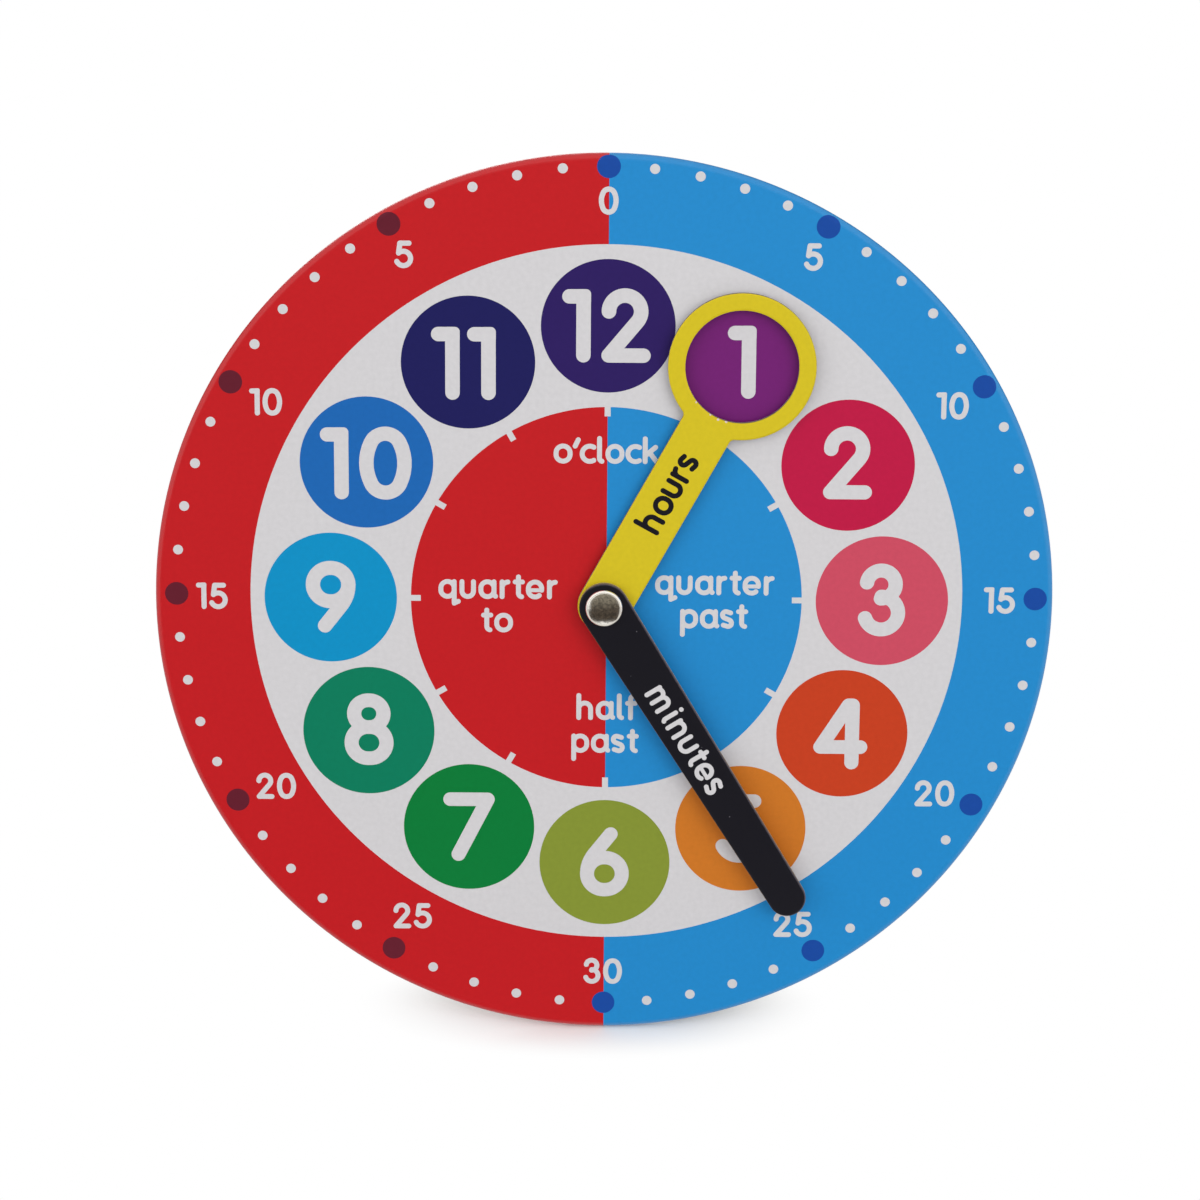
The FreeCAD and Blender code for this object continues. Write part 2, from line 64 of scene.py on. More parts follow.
aim = DIAL @ Vector((*AIM, 0))
stand = aim + CAMERA_DISTANCE * Vector((0, -math.cos(CAMERA_ELEVATION),
                                        math.sin(CAMERA_ELEVATION)))
gaze = (aim - stand).to_track_quat("-Z", "Y") @ Quaternion((0, 0, 1), CAMERA_ROLL)
camera = bpy.data.objects.new("camera", bpy.data.cameras.new("camera"))
bpy.context.scene.collection.objects.link(camera)
camera.data.lens = LENS
camera.data.clip_start = 0.01
camera.location = stand
camera.rotation_euler = gaze.to_euler()
bpy.context.scene.camera = camera
bpy.context.scene.view_settings.view_transform = "Standard"

# ----------------------------------------------------------
# Studio. A white sweep that keeps a soft shadow only round the clock's foot, and a white room.
# Only mirrors see how the room goes dim low in front and behind, as a real one does past a small
# lit table. One large soft lamp stands at the upper right, and weak ones to the left and behind.
# ----------------------------------------------------------
ROOM_FILL = 0.98
FRONT_FILL = (1.35, 0.5)            # times that: straight in front, and from the sides and behind
ROOM_SHINE = 1.3                    # how bright mirrors see the white parts of the room
FLOOR_SIZE = 8.0
FLOOR_SHADE = 0.55                  # the floor's own grey, for the light it gives back
FLOOR_SEEN = 0.98
# Middle, then half width and half depth, of the two ovals of ground that keep a shadow.
SHADOWS = (((-0.003, -0.032), (0.083, 0.033)), ((0.0, 0.08), (0.1, 0.14)))
SHADOW_FADE = 0.4                   # share of an oval's reach where its shadow starts to fade
SHADOW_LIFT = 0.03                  # how far the shadow is lightened
LIT_TABLE = (0.19, 0.24)            # m from the foot where the bright table starts and ends to fade
DIM_AXIS = (0.07, -0.98, 0.19)      # middle of the dim side, and cosines of its soft edge
DIM_CONE = (0.73, 0.77)
DIM_SIDE = "544B42"
DIM_SIDE_TOP = "8F897B"
DIM_RISE = 0.5                      # height, as a sine, where it has its upper colour
DIM_BEHIND = (0.3, 0.6)             # sines, backwards and upwards, where the dim part behind
DIM_BELOW = (0.5, 0.2)              # starts and is full
KEY_LAMP = {"size": 1.5, "power": 9.0, "at": (1.0, -1.4, 1.1)}
SIDE_LAMP = {"size": 1.2, "power": 4.0, "at": (-1.5, -0.9, 0.85)}
REAR_LAMP = {"size": 1.2, "power": 14.0, "at": (-0.5, 1.7, 0.45)}


def linear(code):
    """sRGB hex value as a linear colour."""
    parts = [int(code[i:i + 2], 16) / 255 for i in (0, 2, 4)]
    return (*[p / 12.92 if p <= 0.04045 else ((p + 0.055) / 1.055) ** 2.4 for p in parts], 1.0)


def node(tree, kind, inputs=None, **settings):
    """Add a shader node with its settings. Each input is a value, or the node or socket that
    feeds it."""
    added = tree.nodes.new("ShaderNode" + kind)
    for setting, value in settings.items():
        setattr(added, setting, value)
    for name, value in (inputs or {}).items():
        if isinstance(value, bpy.types.Node):
            value = value.outputs[0]
        if isinstance(value, bpy.types.NodeSocket):
            tree.links.new(value, added.inputs[name])
        else:
            added.inputs[name].default_value = value
    return added


def empty_tree(owner):
    """Node tree of a world or a material, with nothing in it."""
    owner.use_nodes = True
    owner.node_tree.nodes.clear()
    return owner.node_tree


def white_room():
    """Plain white to the eye, an even light for the clock, and part dim in a mirror."""
    world = bpy.data.worlds.new("white_room")
    bpy.context.scene.world = world
    tree = empty_tree(world)
    path = node(tree, "LightPath")
    direction = node(tree, "TexCoord").outputs["Generated"]
    way = node(tree, "SeparateXYZ", {0: direction})
    height = node(tree, "MapRange", {0: way.outputs["Z"], 1: 0.0, 2: DIM_RISE})
    dim = node(tree, "Mix", {0: height, 6: linear(DIM_SIDE), 7: linear(DIM_SIDE_TOP)},
               data_type="RGBA")
    along = node(tree, "VectorMath", {0: direction, 1: DIM_AXIS}, operation="DOT_PRODUCT")
    front = node(tree, "MapRange", {0: along.outputs["Value"], 1: DIM_CONE[0], 2: DIM_CONE[1]},
                 interpolation_type="SMOOTHSTEP")
    back = node(tree, "MapRange", {0: way.outputs["Y"], 1: DIM_BEHIND[0], 2: DIM_BEHIND[1]},
                interpolation_type="SMOOTHSTEP")
    low = node(tree, "MapRange", {0: way.outputs["Z"], 1: DIM_BELOW[0], 2: DIM_BELOW[1]},
               interpolation_type="SMOOTHSTEP")
    low_back = node(tree, "Math", {0: back, 1: low}, operation="MULTIPLY")
    dark = node(tree, "Math", {0: front, 1: low_back}, operation="MAXIMUM")
    shine = (ROOM_SHINE, ROOM_SHINE, ROOM_SHINE, 1)
    mirrored = node(tree, "Mix", {0: dark, 6: shine, 7: dim.outputs[2]}, data_type="RGBA")
    fill = node(tree, "MapRange", {0: way.outputs["Y"], 1: -1.0, 2: 0.0,
                                   3: FRONT_FILL[0] * ROOM_FILL, 4: FRONT_FILL[1] * ROOM_FILL})
    light = node(tree, "Mix", {0: path.outputs["Is Glossy Ray"], 6: fill,
                               7: mirrored.outputs[2]}, data_type="RGBA")
    seen = node(tree, "Math", {0: path.outputs["Is Camera Ray"],
                               1: path.outputs["Is Transmission Ray"]}, operation="MAXIMUM")
    shown = node(tree, "Mix", {0: seen, 6: light.outputs[2], 7: (1, 1, 1, 1)}, data_type="RGBA")
    background = node(tree, "Background", {"Color": shown.outputs[2], "Strength": 1.0})
    node(tree, "OutputWorld", {"Surface": background})


def white_sweep():
    """White paper sweep: it takes a shadow near the foot and fades to plain white past that."""
    sweep = bpy.data.materials.new("white_sweep")
    tree = empty_tree(sweep)
    path = node(tree, "LightPath")
    spot = node(tree, "TexCoord").outputs["Object"]
    ranges = []
    for middle, reach in SHADOWS:
        near = node(tree, "Mapping", {0: spot, "Location": (*middle, 0), "Scale": (*reach, 1)},
                    vector_type="TEXTURE")
        away = node(tree, "VectorMath", {0: near}, operation="LENGTH")
        ranges.append(away.outputs["Value"])
    nearest = node(tree, "Math", {0: ranges[0], 1: ranges[1]}, operation="MINIMUM")
    fade = node(tree, "MapRange", {0: nearest, 1: SHADOW_FADE, 2: 1.0, 3: SHADOW_LIFT},
                interpolation_type="SMOOTHSTEP")
    foot = node(tree, "VectorMath", {0: spot, 1: (*SHADOWS[0][0], 0)}, operation="DISTANCE")
    far = node(tree, "MapRange", {0: foot.outputs["Value"], 1: LIT_TABLE[0], 2: LIT_TABLE[1]},
               interpolation_type="SMOOTHSTEP")
    bearing = node(tree, "VectorMath", {0: spot}, operation="NORMALIZE")
    onward = node(tree, "SeparateXYZ", {0: bearing})
    before = node(tree, "Math", {0: onward.outputs["Y"]}, operation="ABSOLUTE")
    ahead = node(tree, "MapRange", {0: before, 1: DIM_CONE[0], 2: DIM_CONE[1]},
                 interpolation_type="SMOOTHSTEP")
    dark = node(tree, "Math", {0: far, 1: ahead}, operation="MULTIPLY")
    mirrored = node(tree, "Mix", {0: dark, 6: (1, 1, 1, 1), 7: linear(DIM_SIDE)}, data_type="RGBA")
    grey = (FLOOR_SHADE, FLOOR_SHADE, FLOOR_SHADE, 1)
    white = (FLOOR_SEEN, FLOOR_SEEN, FLOOR_SEEN, 1)
    tone = node(tree, "Mix", {0: path.outputs["Is Camera Ray"], 6: grey, 7: white},
                data_type="RGBA")
    paper = node(tree, "BsdfDiffuse", {"Color": tone.outputs[2]})
    plain = node(tree, "Emission", {"Color": (1, 1, 1, 1), "Strength": 1.0})
    bright = node(tree, "Emission", {"Color": mirrored.outputs[2], "Strength": 1.0})
    faded = node(tree, "Math", {0: fade, 1: path.outputs["Is Camera Ray"]}, operation="MULTIPLY")
    seen = node(tree, "MixShader", {0: faded, 1: paper, 2: plain})
    done = node(tree, "MixShader", {0: path.outputs["Is Glossy Ray"], 1: seen, 2: bright})
    node(tree, "OutputMaterial", {"Surface": done})
    return sweep


def soft_lamp(name, size, power, at):
    """Round soft lamp that looks at the clock."""
    lamp = bpy.data.objects.new(name, bpy.data.lights.new(name, "AREA"))
    bpy.context.scene.collection.objects.link(lamp)
    lamp.data.shape = "DISK"
    lamp.data.size = size
    lamp.data.energy = power
    lamp.location = at
    lamp.rotation_euler = (pivot - lamp.location).to_track_quat("-Z", "Y").to_euler()
    return lamp


bpy.ops.object.select_all(action="DESELECT")
bpy.ops.mesh.primitive_plane_add(size=FLOOR_SIZE)
floor = bpy.context.object
floor.name = "floor"
floor.data.materials.append(white_sweep())
white_room()
soft_lamp("key_lamp", **KEY_LAMP).visible_glossy = False
soft_lamp("side_lamp", **SIDE_LAMP).visible_glossy = False
soft_lamp("rear_lamp", **REAR_LAMP)

# ----------------------------------------------------------
# Dial board. A disc of solid greyboard: recycled fibre pressed in layers, so it is dull
# grey-brown with paler and darker fibres. Paper covers all of it but the wall of its hole.
# ----------------------------------------------------------
GREYBOARD = "8B8072"
FIBRE = 0.5                         # mm; coarser than real fibres, so that it shows
LAYER = 0.35                        # mm
LAYER_REACH = 0.12                  # how much a layer changes in a millimetre along the board


def measured(tree, place):
    """Object coordinates turned to millimetres in the frame that a matrix places."""
    where, turned, size = place.decompose()
    return node(tree, "Mapping", {0: node(tree, "TexCoord").outputs["Object"], "Location": where,
                                  "Rotation": turned.to_euler(), "Scale": size},
                vector_type="TEXTURE")


def new_finish(name, place=DIAL):
    """A new material, its empty tree, and the place on the piece in mm, in a matrix's frame."""
    material = bpy.data.materials.new(name)
    tree = empty_tree(material)
    return material, tree, measured(tree, place)


def solid_greyboard():
    """Greyboard, cut with a blade: matt, fibrous, with faint layers along its cut edge."""
    board, tree, spot = new_finish("solid_greyboard")
    fibres = node(tree, "TexNoise", {"Vector": spot, "Scale": 1 / FIBRE, "Detail": 4.0})
    layered = node(tree, "Mapping", {0: spot, "Scale": (LAYER_REACH, LAYER_REACH, 1 / LAYER)})
    layers = node(tree, "TexNoise", {"Vector": layered, "Scale": 1.0, "Detail": 2.0})
    both = node(tree, "Math", {0: fibres, 1: layers})
    level = node(tree, "MapRange", {0: both, 1: 0.6, 2: 1.4, 3: 0.62, 4: 1.35})
    tint = node(tree, "HueSaturation", {"Value": level, "Color": linear(GREYBOARD)})
    rough = node(tree, "Bump", {"Height": both, "Strength": 0.6, "Distance": 0.08 * MM})
    shader = node(tree, "BsdfPrincipled", {
        "Base Color": tint, "Roughness": 0.92, "Specular IOR Level": 0.2, "Normal": rough})
    node(tree, "OutputMaterial", {"Surface": shader})
    return board


def finish(material, *pieces):
    """Give CAD pieces their finish."""
    for piece in pieces:
        for slot in frame["nodes"][piece].material_slots:
            slot.material = material


board_material = solid_greyboard()
finish(board_material, "dial_board")

# ----------------------------------------------------------
# Printed sheet. One coated paper with satin laminate, glued over the face, round the pressed rim
# and in behind it. Left half red and right half blue; the print sits a little off the pivot and
# came out a little small, as damp paper dries short.
# ----------------------------------------------------------
PRINT_CENTRE = (0.74, 1.53)         # mm from the pivot
PRINT_SCALE = 0.9957
RED = "C0181E"
BLUE = "2087C8"
DISC_RADIUS = 150.0
BACK_LEVEL = -3.9                   # mm; the face is at 0
SHEET = 0.15
RIM_ROUND = 2.3                     # the front edge, pressed round
RIM_FLAT = DISC_RADIUS - RIM_ROUND  # where it begins
BACK_ROUND = 0.6
TURN_IN = 12.0                      # how far the sheet goes in over the back
SHEET_HOLE = 3.21
SHEET_STEPS = 360
SEAM = 0.001                        # mm; corners that are nearer than this are one
ROUND_FACETS = 8                    # in each rounded edge
SHARP = math.radians(30)            # bend between two faces, past which their edge stays sharp
RIM_SHINE = 0.6                     # coat that the press shines on the bent laminate
SHINE_TOP = (-0.01, -0.15)          # mm; levels where that starts, and is full
SHINE_FOOT = (-1.5, -0.9)           # where it has ended, and is still full
MOTTLE = 1.6                        # mm; unevenness of the ink
PAPER_GRAIN = 0.45                  # mm; the paper's tooth under the laminate
HAZE = 22.0                         # mm; patches that are a little duller

ARTWORK = DIAL @ Matrix.Translation((*PRINT_CENTRE, 0)) @ Matrix.Scale(PRINT_SCALE, 4)


def laminated_print(name, place, ink):
    """Ink on coated paper under satin laminate: even colour, soft sheen, a very fine tooth.
    The ink is a hex value, or a function that draws it from the tree and the place."""
    made, tree, spot = new_finish(name, place)
    colour = ink(tree, spot) if callable(ink) else linear(ink)
    mottle = node(tree, "TexNoise", {"Vector": spot, "Scale": 1 / MOTTLE, "Detail": 3.0})
    level = node(tree, "MapRange", {0: mottle, 1: 0.25, 2: 0.75, 3: 0.965, 4: 1.035})
    uneven = node(tree, "HueSaturation", {"Value": level, "Color": colour})
    haze = node(tree, "TexNoise", {"Vector": spot, "Scale": 1 / HAZE, "Detail": 4.0})
    dull = node(tree, "MapRange", {0: haze, 1: 0.3, 2: 0.7, 3: 0.36, 4: 0.44})
    tooth = node(tree, "TexNoise", {"Vector": spot, "Scale": 1 / PAPER_GRAIN, "Detail": 2.0})
    bump = node(tree, "Bump", {"Height": tooth, "Strength": 0.35, "Distance": 0.02 * MM})
    shader = node(tree, "BsdfPrincipled", {
        "Base Color": uneven, "Roughness": dull, "IOR": 1.5, "Specular IOR Level": 0.12,
        "Normal": bump})
    node(tree, "OutputMaterial", {"Surface": shader})
    return made


def red_and_blue(tree, spot):
    """Red to the left of the upright through the print's centre, blue to the right of it."""
    across = node(tree, "SeparateXYZ", {0: spot})
    side = node(tree, "Math", {0: across.outputs["X"], 1: 0.0}, operation="GREATER_THAN")
    return node(tree, "Mix", {0: side, 6: linear(RED), 7: linear(BLUE)},
                data_type="RGBA").outputs[2]


def burnish_rim(sheet):
    """Let the laminate shine where the press bent it, on the upper part of the round rim."""
    tree = sheet.node_tree
    height = node(tree, "SeparateXYZ", {0: measured(tree, DIAL)}).outputs["Z"]
    bent = node(tree, "MapRange", {0: height, 1: SHINE_TOP[0], 2: SHINE_TOP[1], 4: RIM_SHINE})
    upper = node(tree, "MapRange", {0: height, 1: SHINE_FOOT[0], 2: SHINE_FOOT[1]})
    shine = node(tree, "Math", {0: bent, 1: upper}, operation="MULTIPLY")
    shader = tree.nodes["Principled BSDF"]
    shader.inputs["Coat Roughness"].default_value = 0.25
    tree.links.new(shine.outputs[0], shader.inputs["Coat Weight"])


def new_mesh():
    """An empty mesh object, alone selected and in edit mode."""
    drawn = bpy.data.objects.new("drawn", bpy.data.meshes.new("drawn"))
    bpy.context.scene.collection.objects.link(drawn)
    bpy.ops.object.select_all(action="DESELECT")
    drawn.select_set(True)
    bpy.context.view_layer.objects.active = drawn
    bpy.ops.object.mode_set(mode="EDIT")
    return drawn


def rounded(centre, radius, start, end, facets=ROUND_FACETS):
    """Points of an arc in a profile's plane, angles in degrees from the x axis."""
    turns = [math.radians(start + (end - start) * i / facets) for i in range(facets + 1)]
    return [(centre[0] + radius * math.cos(t), centre[1] + radius * math.sin(t)) for t in turns]


def spin_profile(outline, steps):
    """Turn an outline of (radius, height) points once round the z axis, into a smooth shell. Its
    ends are joined, or both lie on the axis."""
    spun = new_mesh()
    sheet = bmesh.from_edit_mesh(spun.data)
    corners = [sheet.verts.new((radius, 0, height)) for radius, height in outline]
    on_axis = max(outline[0][0], outline[-1][0]) < SEAM
    following = corners[1:] if on_axis else corners[1:] + corners[:1]
    for corner, follower in zip(corners, following):
        sheet.edges.new((corner, follower))
    bmesh.update_edit_mesh(spun.data)
    bpy.ops.mesh.select_all(action="SELECT")
    bpy.ops.mesh.spin(steps=steps, angle=math.tau, center=(0, 0, 0), axis=(0, 0, 1))
    bpy.ops.mesh.select_all(action="SELECT")
    bpy.ops.mesh.remove_doubles(threshold=SEAM)
    bpy.ops.mesh.normals_make_consistent(inside=False)
    bpy.ops.object.mode_set(mode="OBJECT")
    bpy.ops.object.shade_smooth_by_angle(angle=SHARP)
    return spun


def place_piece(piece, name, place, material, body="dial"):
    """Leave edit mode, put the piece where a matrix says, finish it and fix it to its body."""
    if piece.mode == "EDIT":
        bpy.ops.object.mode_set(mode="OBJECT")
    piece.name = name
    piece.data.name = name
    piece.data.transform(place)
    piece.data.update()
    piece.data.materials.clear()
    piece.data.materials.append(material)
    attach(piece, body)


rim_middle = (RIM_FLAT, -RIM_ROUND)
back_middle = (DISC_RADIUS - BACK_ROUND, BACK_LEVEL + BACK_ROUND)
turned_in = DISC_RADIUS - TURN_IN
wrapped = spin_profile([
    (SHEET_HOLE, 0), *rounded(rim_middle, RIM_ROUND, 90, 0),
    *rounded(back_middle, BACK_ROUND, 0, -90), (turned_in, BACK_LEVEL),
    (turned_in, BACK_LEVEL + SHEET), *rounded(back_middle, BACK_ROUND - SHEET, -90, 0),
    *rounded(rim_middle, RIM_ROUND - SHEET, 0, 90), (SHEET_HOLE, -SHEET)], SHEET_STEPS)
sheet_print = laminated_print("sheet_print", ARTWORK, red_and_blue)
burnish_rim(sheet_print)
place_piece(wrapped, "dial_sheet", DIAL, sheet_print)
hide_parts("dial_print_sheet")

# ----------------------------------------------------------
# White band and ticks. The ring of unprinted paper that the hours stand on, with twelve short
# ticks that run in from it. Each ink layer is drawn as a thin film on the one below.
# ----------------------------------------------------------
PAPER_WHITE = "CFCDCF"
FILM = 0.02                         # mm
BAND_INNER = 65.56
BAND_OUTER = 119.36
BAND_DRIFT = 0.3                    # the outer edge's centre, above the inner one's
TICK_WIDTH = 2.0
TICK_LENGTH = 3.6
TICK_LAP = 0.3                      # how far a tick's film runs in over the band's
TICK_LIFT = 0.002                   # mm; holds it a hair above the band's
ROUND_STEPS = 192


def thicken():
    """Raise every face of the flat outline in edit mode into a closed film."""
    bpy.ops.mesh.select_all(action="SELECT")
    bpy.ops.mesh.extrude_region_move(TRANSFORM_OT_translate={"value": (0, 0, FILM)})
    bpy.ops.mesh.select_all(action="SELECT")
    bpy.ops.mesh.normals_make_consistent(inside=False)


def raised(place, level):
    """The place that is a level above this one."""
    return place @ Matrix.Translation((0, 0, level))


white_print = laminated_print("white_print", ARTWORK, PAPER_WHITE)

band = new_mesh()
bpy.ops.mesh.primitive_circle_add(vertices=ROUND_STEPS, radius=BAND_OUTER,
                                  location=(0, BAND_DRIFT / 2, 0))
bpy.ops.mesh.extrude_edges_move()
bpy.ops.transform.translate(value=(0, -BAND_DRIFT, 0))
bpy.ops.transform.resize(value=[BAND_INNER / BAND_OUTER] * 3,
                         center_override=(0, -BAND_DRIFT / 2, 0))
thicken()
place_piece(band, "hour_band", ARTWORK, white_print)

ticks = new_mesh()
for hour in range(12):
    bpy.ops.mesh.select_all(action="DESELECT")
    bpy.ops.mesh.primitive_plane_add(size=1, location=(0, BAND_INNER + TICK_LAP - TICK_LENGTH / 2, 0))
    bpy.ops.transform.resize(value=(TICK_WIDTH, TICK_LENGTH, 1))
    bpy.ops.transform.rotate(value=math.radians(30 * hour), orient_axis="Z",
                             center_override=(0, 0, 0))
thicken()
place_piece(ticks, "hour_ticks", raised(ARTWORK, TICK_LIFT), white_print)

# ----------------------------------------------------------
# Hour circles. Twelve spots of solid ink printed on the white band, one to each hour and each in a
# colour of its own. White shows all round them.
# ----------------------------------------------------------
HOUR_RING = 92.45
HOUR_SPOT = 22.2
SPOT_STEPS = 96
HOUR_INKS = ("721E71", "BC1442", "C94A5F", "C43D1B", "CB7523", "839132",
             "007A36", "007B5A", "008DC2", "1864B0", "1D1C5B", "2D1B60")


def round_the_dial(radius, degrees, centre=(0, 0)):
    """A spot at a radius, clockwise from the top."""
    angle = math.radians(degrees)
    return Vector((centre[0] + radius * math.sin(angle), centre[1] + radius * math.cos(angle), 0))


for hour, ink in enumerate(HOUR_INKS, 1):
    spot = new_mesh()
    bpy.ops.mesh.primitive_circle_add(vertices=SPOT_STEPS, radius=HOUR_SPOT, fill_type="NGON",
                                      location=round_the_dial(HOUR_RING, 30 * hour))
    thicken()
    ink_material = laminated_print(f"hour_ink_{hour}", ARTWORK, ink)
    place_piece(spot, f"hour_circle_{hour}", raised(ARTWORK, FILM), ink_material)

# ----------------------------------------------------------
# Minute dots. Sixty dots close to the rim: small white ones, and a larger dark one at each five
# minutes. The print stands a little high, so the topmost dots run over the pressed rim.
# ----------------------------------------------------------
DOT_CENTRE = (-0.14, 1.01)          # mm from the artwork's centre
DOT_RING = 144.0
SMALL_DOT = 1.65
LARGE_DOT = 3.9
DOT_STEPS = 32
DOT_FACET = 0.3                     # mm between rings of faces in a dot, to bend over the rim
DARK_BLUE = "14489E"
MAROON = "641C2C"


def over_rim(point):
    """Carry a point of a film from the plane of the face on to the sheet, also past the rim."""
    across = Vector((point.x, point.y))
    beyond = across.length - RIM_FLAT
    if beyond <= 0:
        return point
    turn = beyond / RIM_ROUND
    radius = RIM_ROUND + point.z
    across = across.normalized() * (RIM_FLAT + radius * math.sin(turn))
    return Vector((*across, radius * math.cos(turn) - RIM_ROUND))


def dot_ring(name, minutes, radius, material):
    """One film with a dot at each of these minutes."""
    dots = new_mesh()
    centre = Vector(PRINT_CENTRE) + PRINT_SCALE * Vector(DOT_CENTRE)
    rings = int(radius / DOT_FACET)
    for minute in minutes:
        place = round_the_dial(PRINT_SCALE * DOT_RING, 6 * minute, centre)
        bpy.ops.mesh.select_all(action="DESELECT")
        bpy.ops.mesh.primitive_circle_add(vertices=DOT_STEPS, radius=radius, fill_type="NGON",
                                          location=place)
        for _ in range(rings):
            bpy.ops.mesh.inset(thickness=radius / (rings + 1), use_boundary=True)
    thicken()
    bpy.ops.object.mode_set(mode="OBJECT")
    for vertex in dots.data.vertices:
        vertex.co = over_rim(vertex.co)
    place_piece(dots, name, DIAL, material)


plain_minutes = [minute for minute in range(60) if minute % 5]
dot_ring("minute_dots", plain_minutes, SMALL_DOT, white_print)
dot_ring("five_minute_dots_blue", range(0, 35, 5), LARGE_DOT,
         laminated_print("dark_blue_print", ARTWORK, DARK_BLUE))
dot_ring("five_minute_dots_maroon", range(35, 60, 5), LARGE_DOT,
         laminated_print("maroon_print", ARTWORK, MAROON))

# ----------------------------------------------------------
# Hour numerals. Plain rounded figures, white on the colours, as a round pen would write them:
# each is drawn with strokes of one width, and the strokes are united into one film.
# ----------------------------------------------------------
HOUR_CAP = 19.55                    # mm between the pen's centre at foot and head of a figure
HOUR_PEN = 4.8
ARC_STEP = 7.5                      # degrees of an arc in one facet
PEN_ENDS = 32                       # corners of a stroke's round end
PEN_MERGE = 0.004                   # mm; corners of two strokes that are nearer than this are one
PEN_STRAIGHT = math.radians(1)      # corners of an outline that bend less than this are dropped

# A stroke starts at (x, y, heading) and is a list of runs: a length, or an arc as (radius, turn),
# with a turn to the left positive. A fourth value at the start is a finer pen, as for the square
# shoulder of the 1. Each figure: its width, then its strokes, in units of its height.
FIGURES = {
    "0": (0.65, ((0, 0.51, 90), (0.8214, -25.8), (0.27, -128.4), (0.8214, -51.6), (0.27, -128.4),
                 (0.8214, -25.8))),
    "1": (0.238, ((0.238, 1, -90), 1), ((0, 1, 0), 0.238), ((0.279, 1.041, 180, 0.68), 0.12),
          ((0.279, 1.041, -90, 0.68), 0.12)),
    "2": (0.587, ((0, 0.749, 90), (0.271, -219.8), 0.749), ((0, 0, 0), 0.587)),
    "3": (0.566, ((0.021, 0.824, 82), (0.247, -262)), ((0.276, 0.577, 0), (0.29, -252))),
    "4": (0.69, ((0.543, 1.027, -90), 1.027), ((0.475, 1.027, 237.6), 0.887),
          ((0.475, 1.027, 0), 0.068), ((0, 0.278, 0), 0.69)),
    "5": (0.61, ((0.14, 1, 0), 0.4), ((0.14, 1, 262.2), 0.444), ((0.084, 0.565, 40), (0.32, -285))),
    "6": (0.608, ((0.408, 1.018, 232), 0.462, (0.578, 38)),
          ((0, 0.2935, 270), (0.2935, 90), 0.021, (0.2935, 180), 0.021, (0.2935, 90))),
    "7": (0.65, ((0, 1, 0), 0.65), ((0.65, 1, 243), 1.1225)),
    "8": (0.605, ((0.28, 0, 0), 0.045, (0.28, 180), 0.045, (0.28, 180)),
          ((0.289, 0.56, 0), 0.027, (0.24, 180), 0.027, (0.24, 180))),
    "9": (0.608, ((0.2, 0, 52), 0.462, (0.578, 38)),
          ((0.608, 0.7245, 90), (0.2935, 90), 0.021, (0.2935, 180), 0.021, (0.2935, 90))),
}
# Left edge of each figure's ink, from the middle of its circle, where it isn't simply centred.
HOUR_LEFTS = {"1": (-6.8,), "4": (-9.55,), "10": (-15.4, -2.45), "11": (-12.2, -0.3),
              "12": (-15.2, -2.2)}
HOUR_RAISES = {1: 0.6, 2: 0.7, 4: -0.4, 10: -0.45, 11: -0.4}   # mm, above their circle's middle


def pen_stroke(mesh, start, runs, size, pen, corner):
    """Sweep a short edge, as wide as the pen, along the runs, with a round end at each joint."""
    x, y, heading = start[:3]
    width = pen * (start[3] if len(start) > 3 else 1)
    here = corner + Vector((x, y, 0)) * size
    joints = [here]
    for run in runs:
        ahead = Vector((math.cos(math.radians(heading)), math.sin(math.radians(heading)), 0))
        left = Vector((-ahead.y, ahead.x, 0))
        bpy.ops.mesh.select_all(action="DESELECT")
        sheet = bmesh.from_edit_mesh(mesh)
        nib = sheet.edges.new([sheet.verts.new(here + left * width * half) for half in (0.5, -0.5)])
        nib.select_set(True)
        bmesh.update_edit_mesh(mesh)
        if isinstance(run, tuple):
            radius, turn = run
            middle = here + left * math.copysign(radius * size, turn)
            bpy.ops.mesh.spin(steps=math.ceil(abs(turn) / ARC_STEP), angle=-math.radians(turn),
                              center=middle, axis=(0, 0, 1))
            here = middle + Matrix.Rotation(math.radians(turn), 3, "Z") @ (here - middle)
            heading += turn
        else:
            bpy.ops.mesh.extrude_region_move(TRANSFORM_OT_translate={"value": ahead * run * size})
            here = here + ahead * run * size
        joints.append(here)
    for joint in joints:
        bpy.ops.mesh.primitive_circle_add(vertices=PEN_ENDS, radius=width / 2, fill_type="NGON",
                                          location=joint)


def unite_strokes(drawn):
    """Turn the overlapping strokes into one outline and raise it into a film."""
    bpy.ops.mesh.select_all(action="SELECT")
    bpy.ops.mesh.remove_doubles(threshold=PEN_MERGE)
    bpy.ops.object.mode_set(mode="OBJECT")
    strokes = bmesh.new()
    strokes.from_mesh(drawn.data)
    for face in strokes.faces:
        if face.normal.z < 0:
            face.normal_flip()
    corners = [vertex.co.xy for vertex in strokes.verts]
    strokes.verts.index_update()
    outlines = [[vertex.index for vertex in face.verts] for face in strokes.faces]
    strokes.free()
    points, _, cells, _, _, covers = delaunay_2d_cdt(corners, [], outlines, 0, PEN_MERGE / 10)
    inked = [cell for cell, cover in zip(cells, covers) if cover]
    drawn.data.clear_geometry()
    drawn.data.from_pydata([(*point, 0) for point in points], [], inked)
    bpy.ops.object.mode_set(mode="EDIT")
    bpy.ops.mesh.select_all(action="SELECT")
    bpy.ops.mesh.delete_loose()
    bpy.ops.mesh.select_all(action="SELECT")
    bpy.ops.mesh.dissolve_limited(angle_limit=PEN_STRAIGHT)
    thicken()


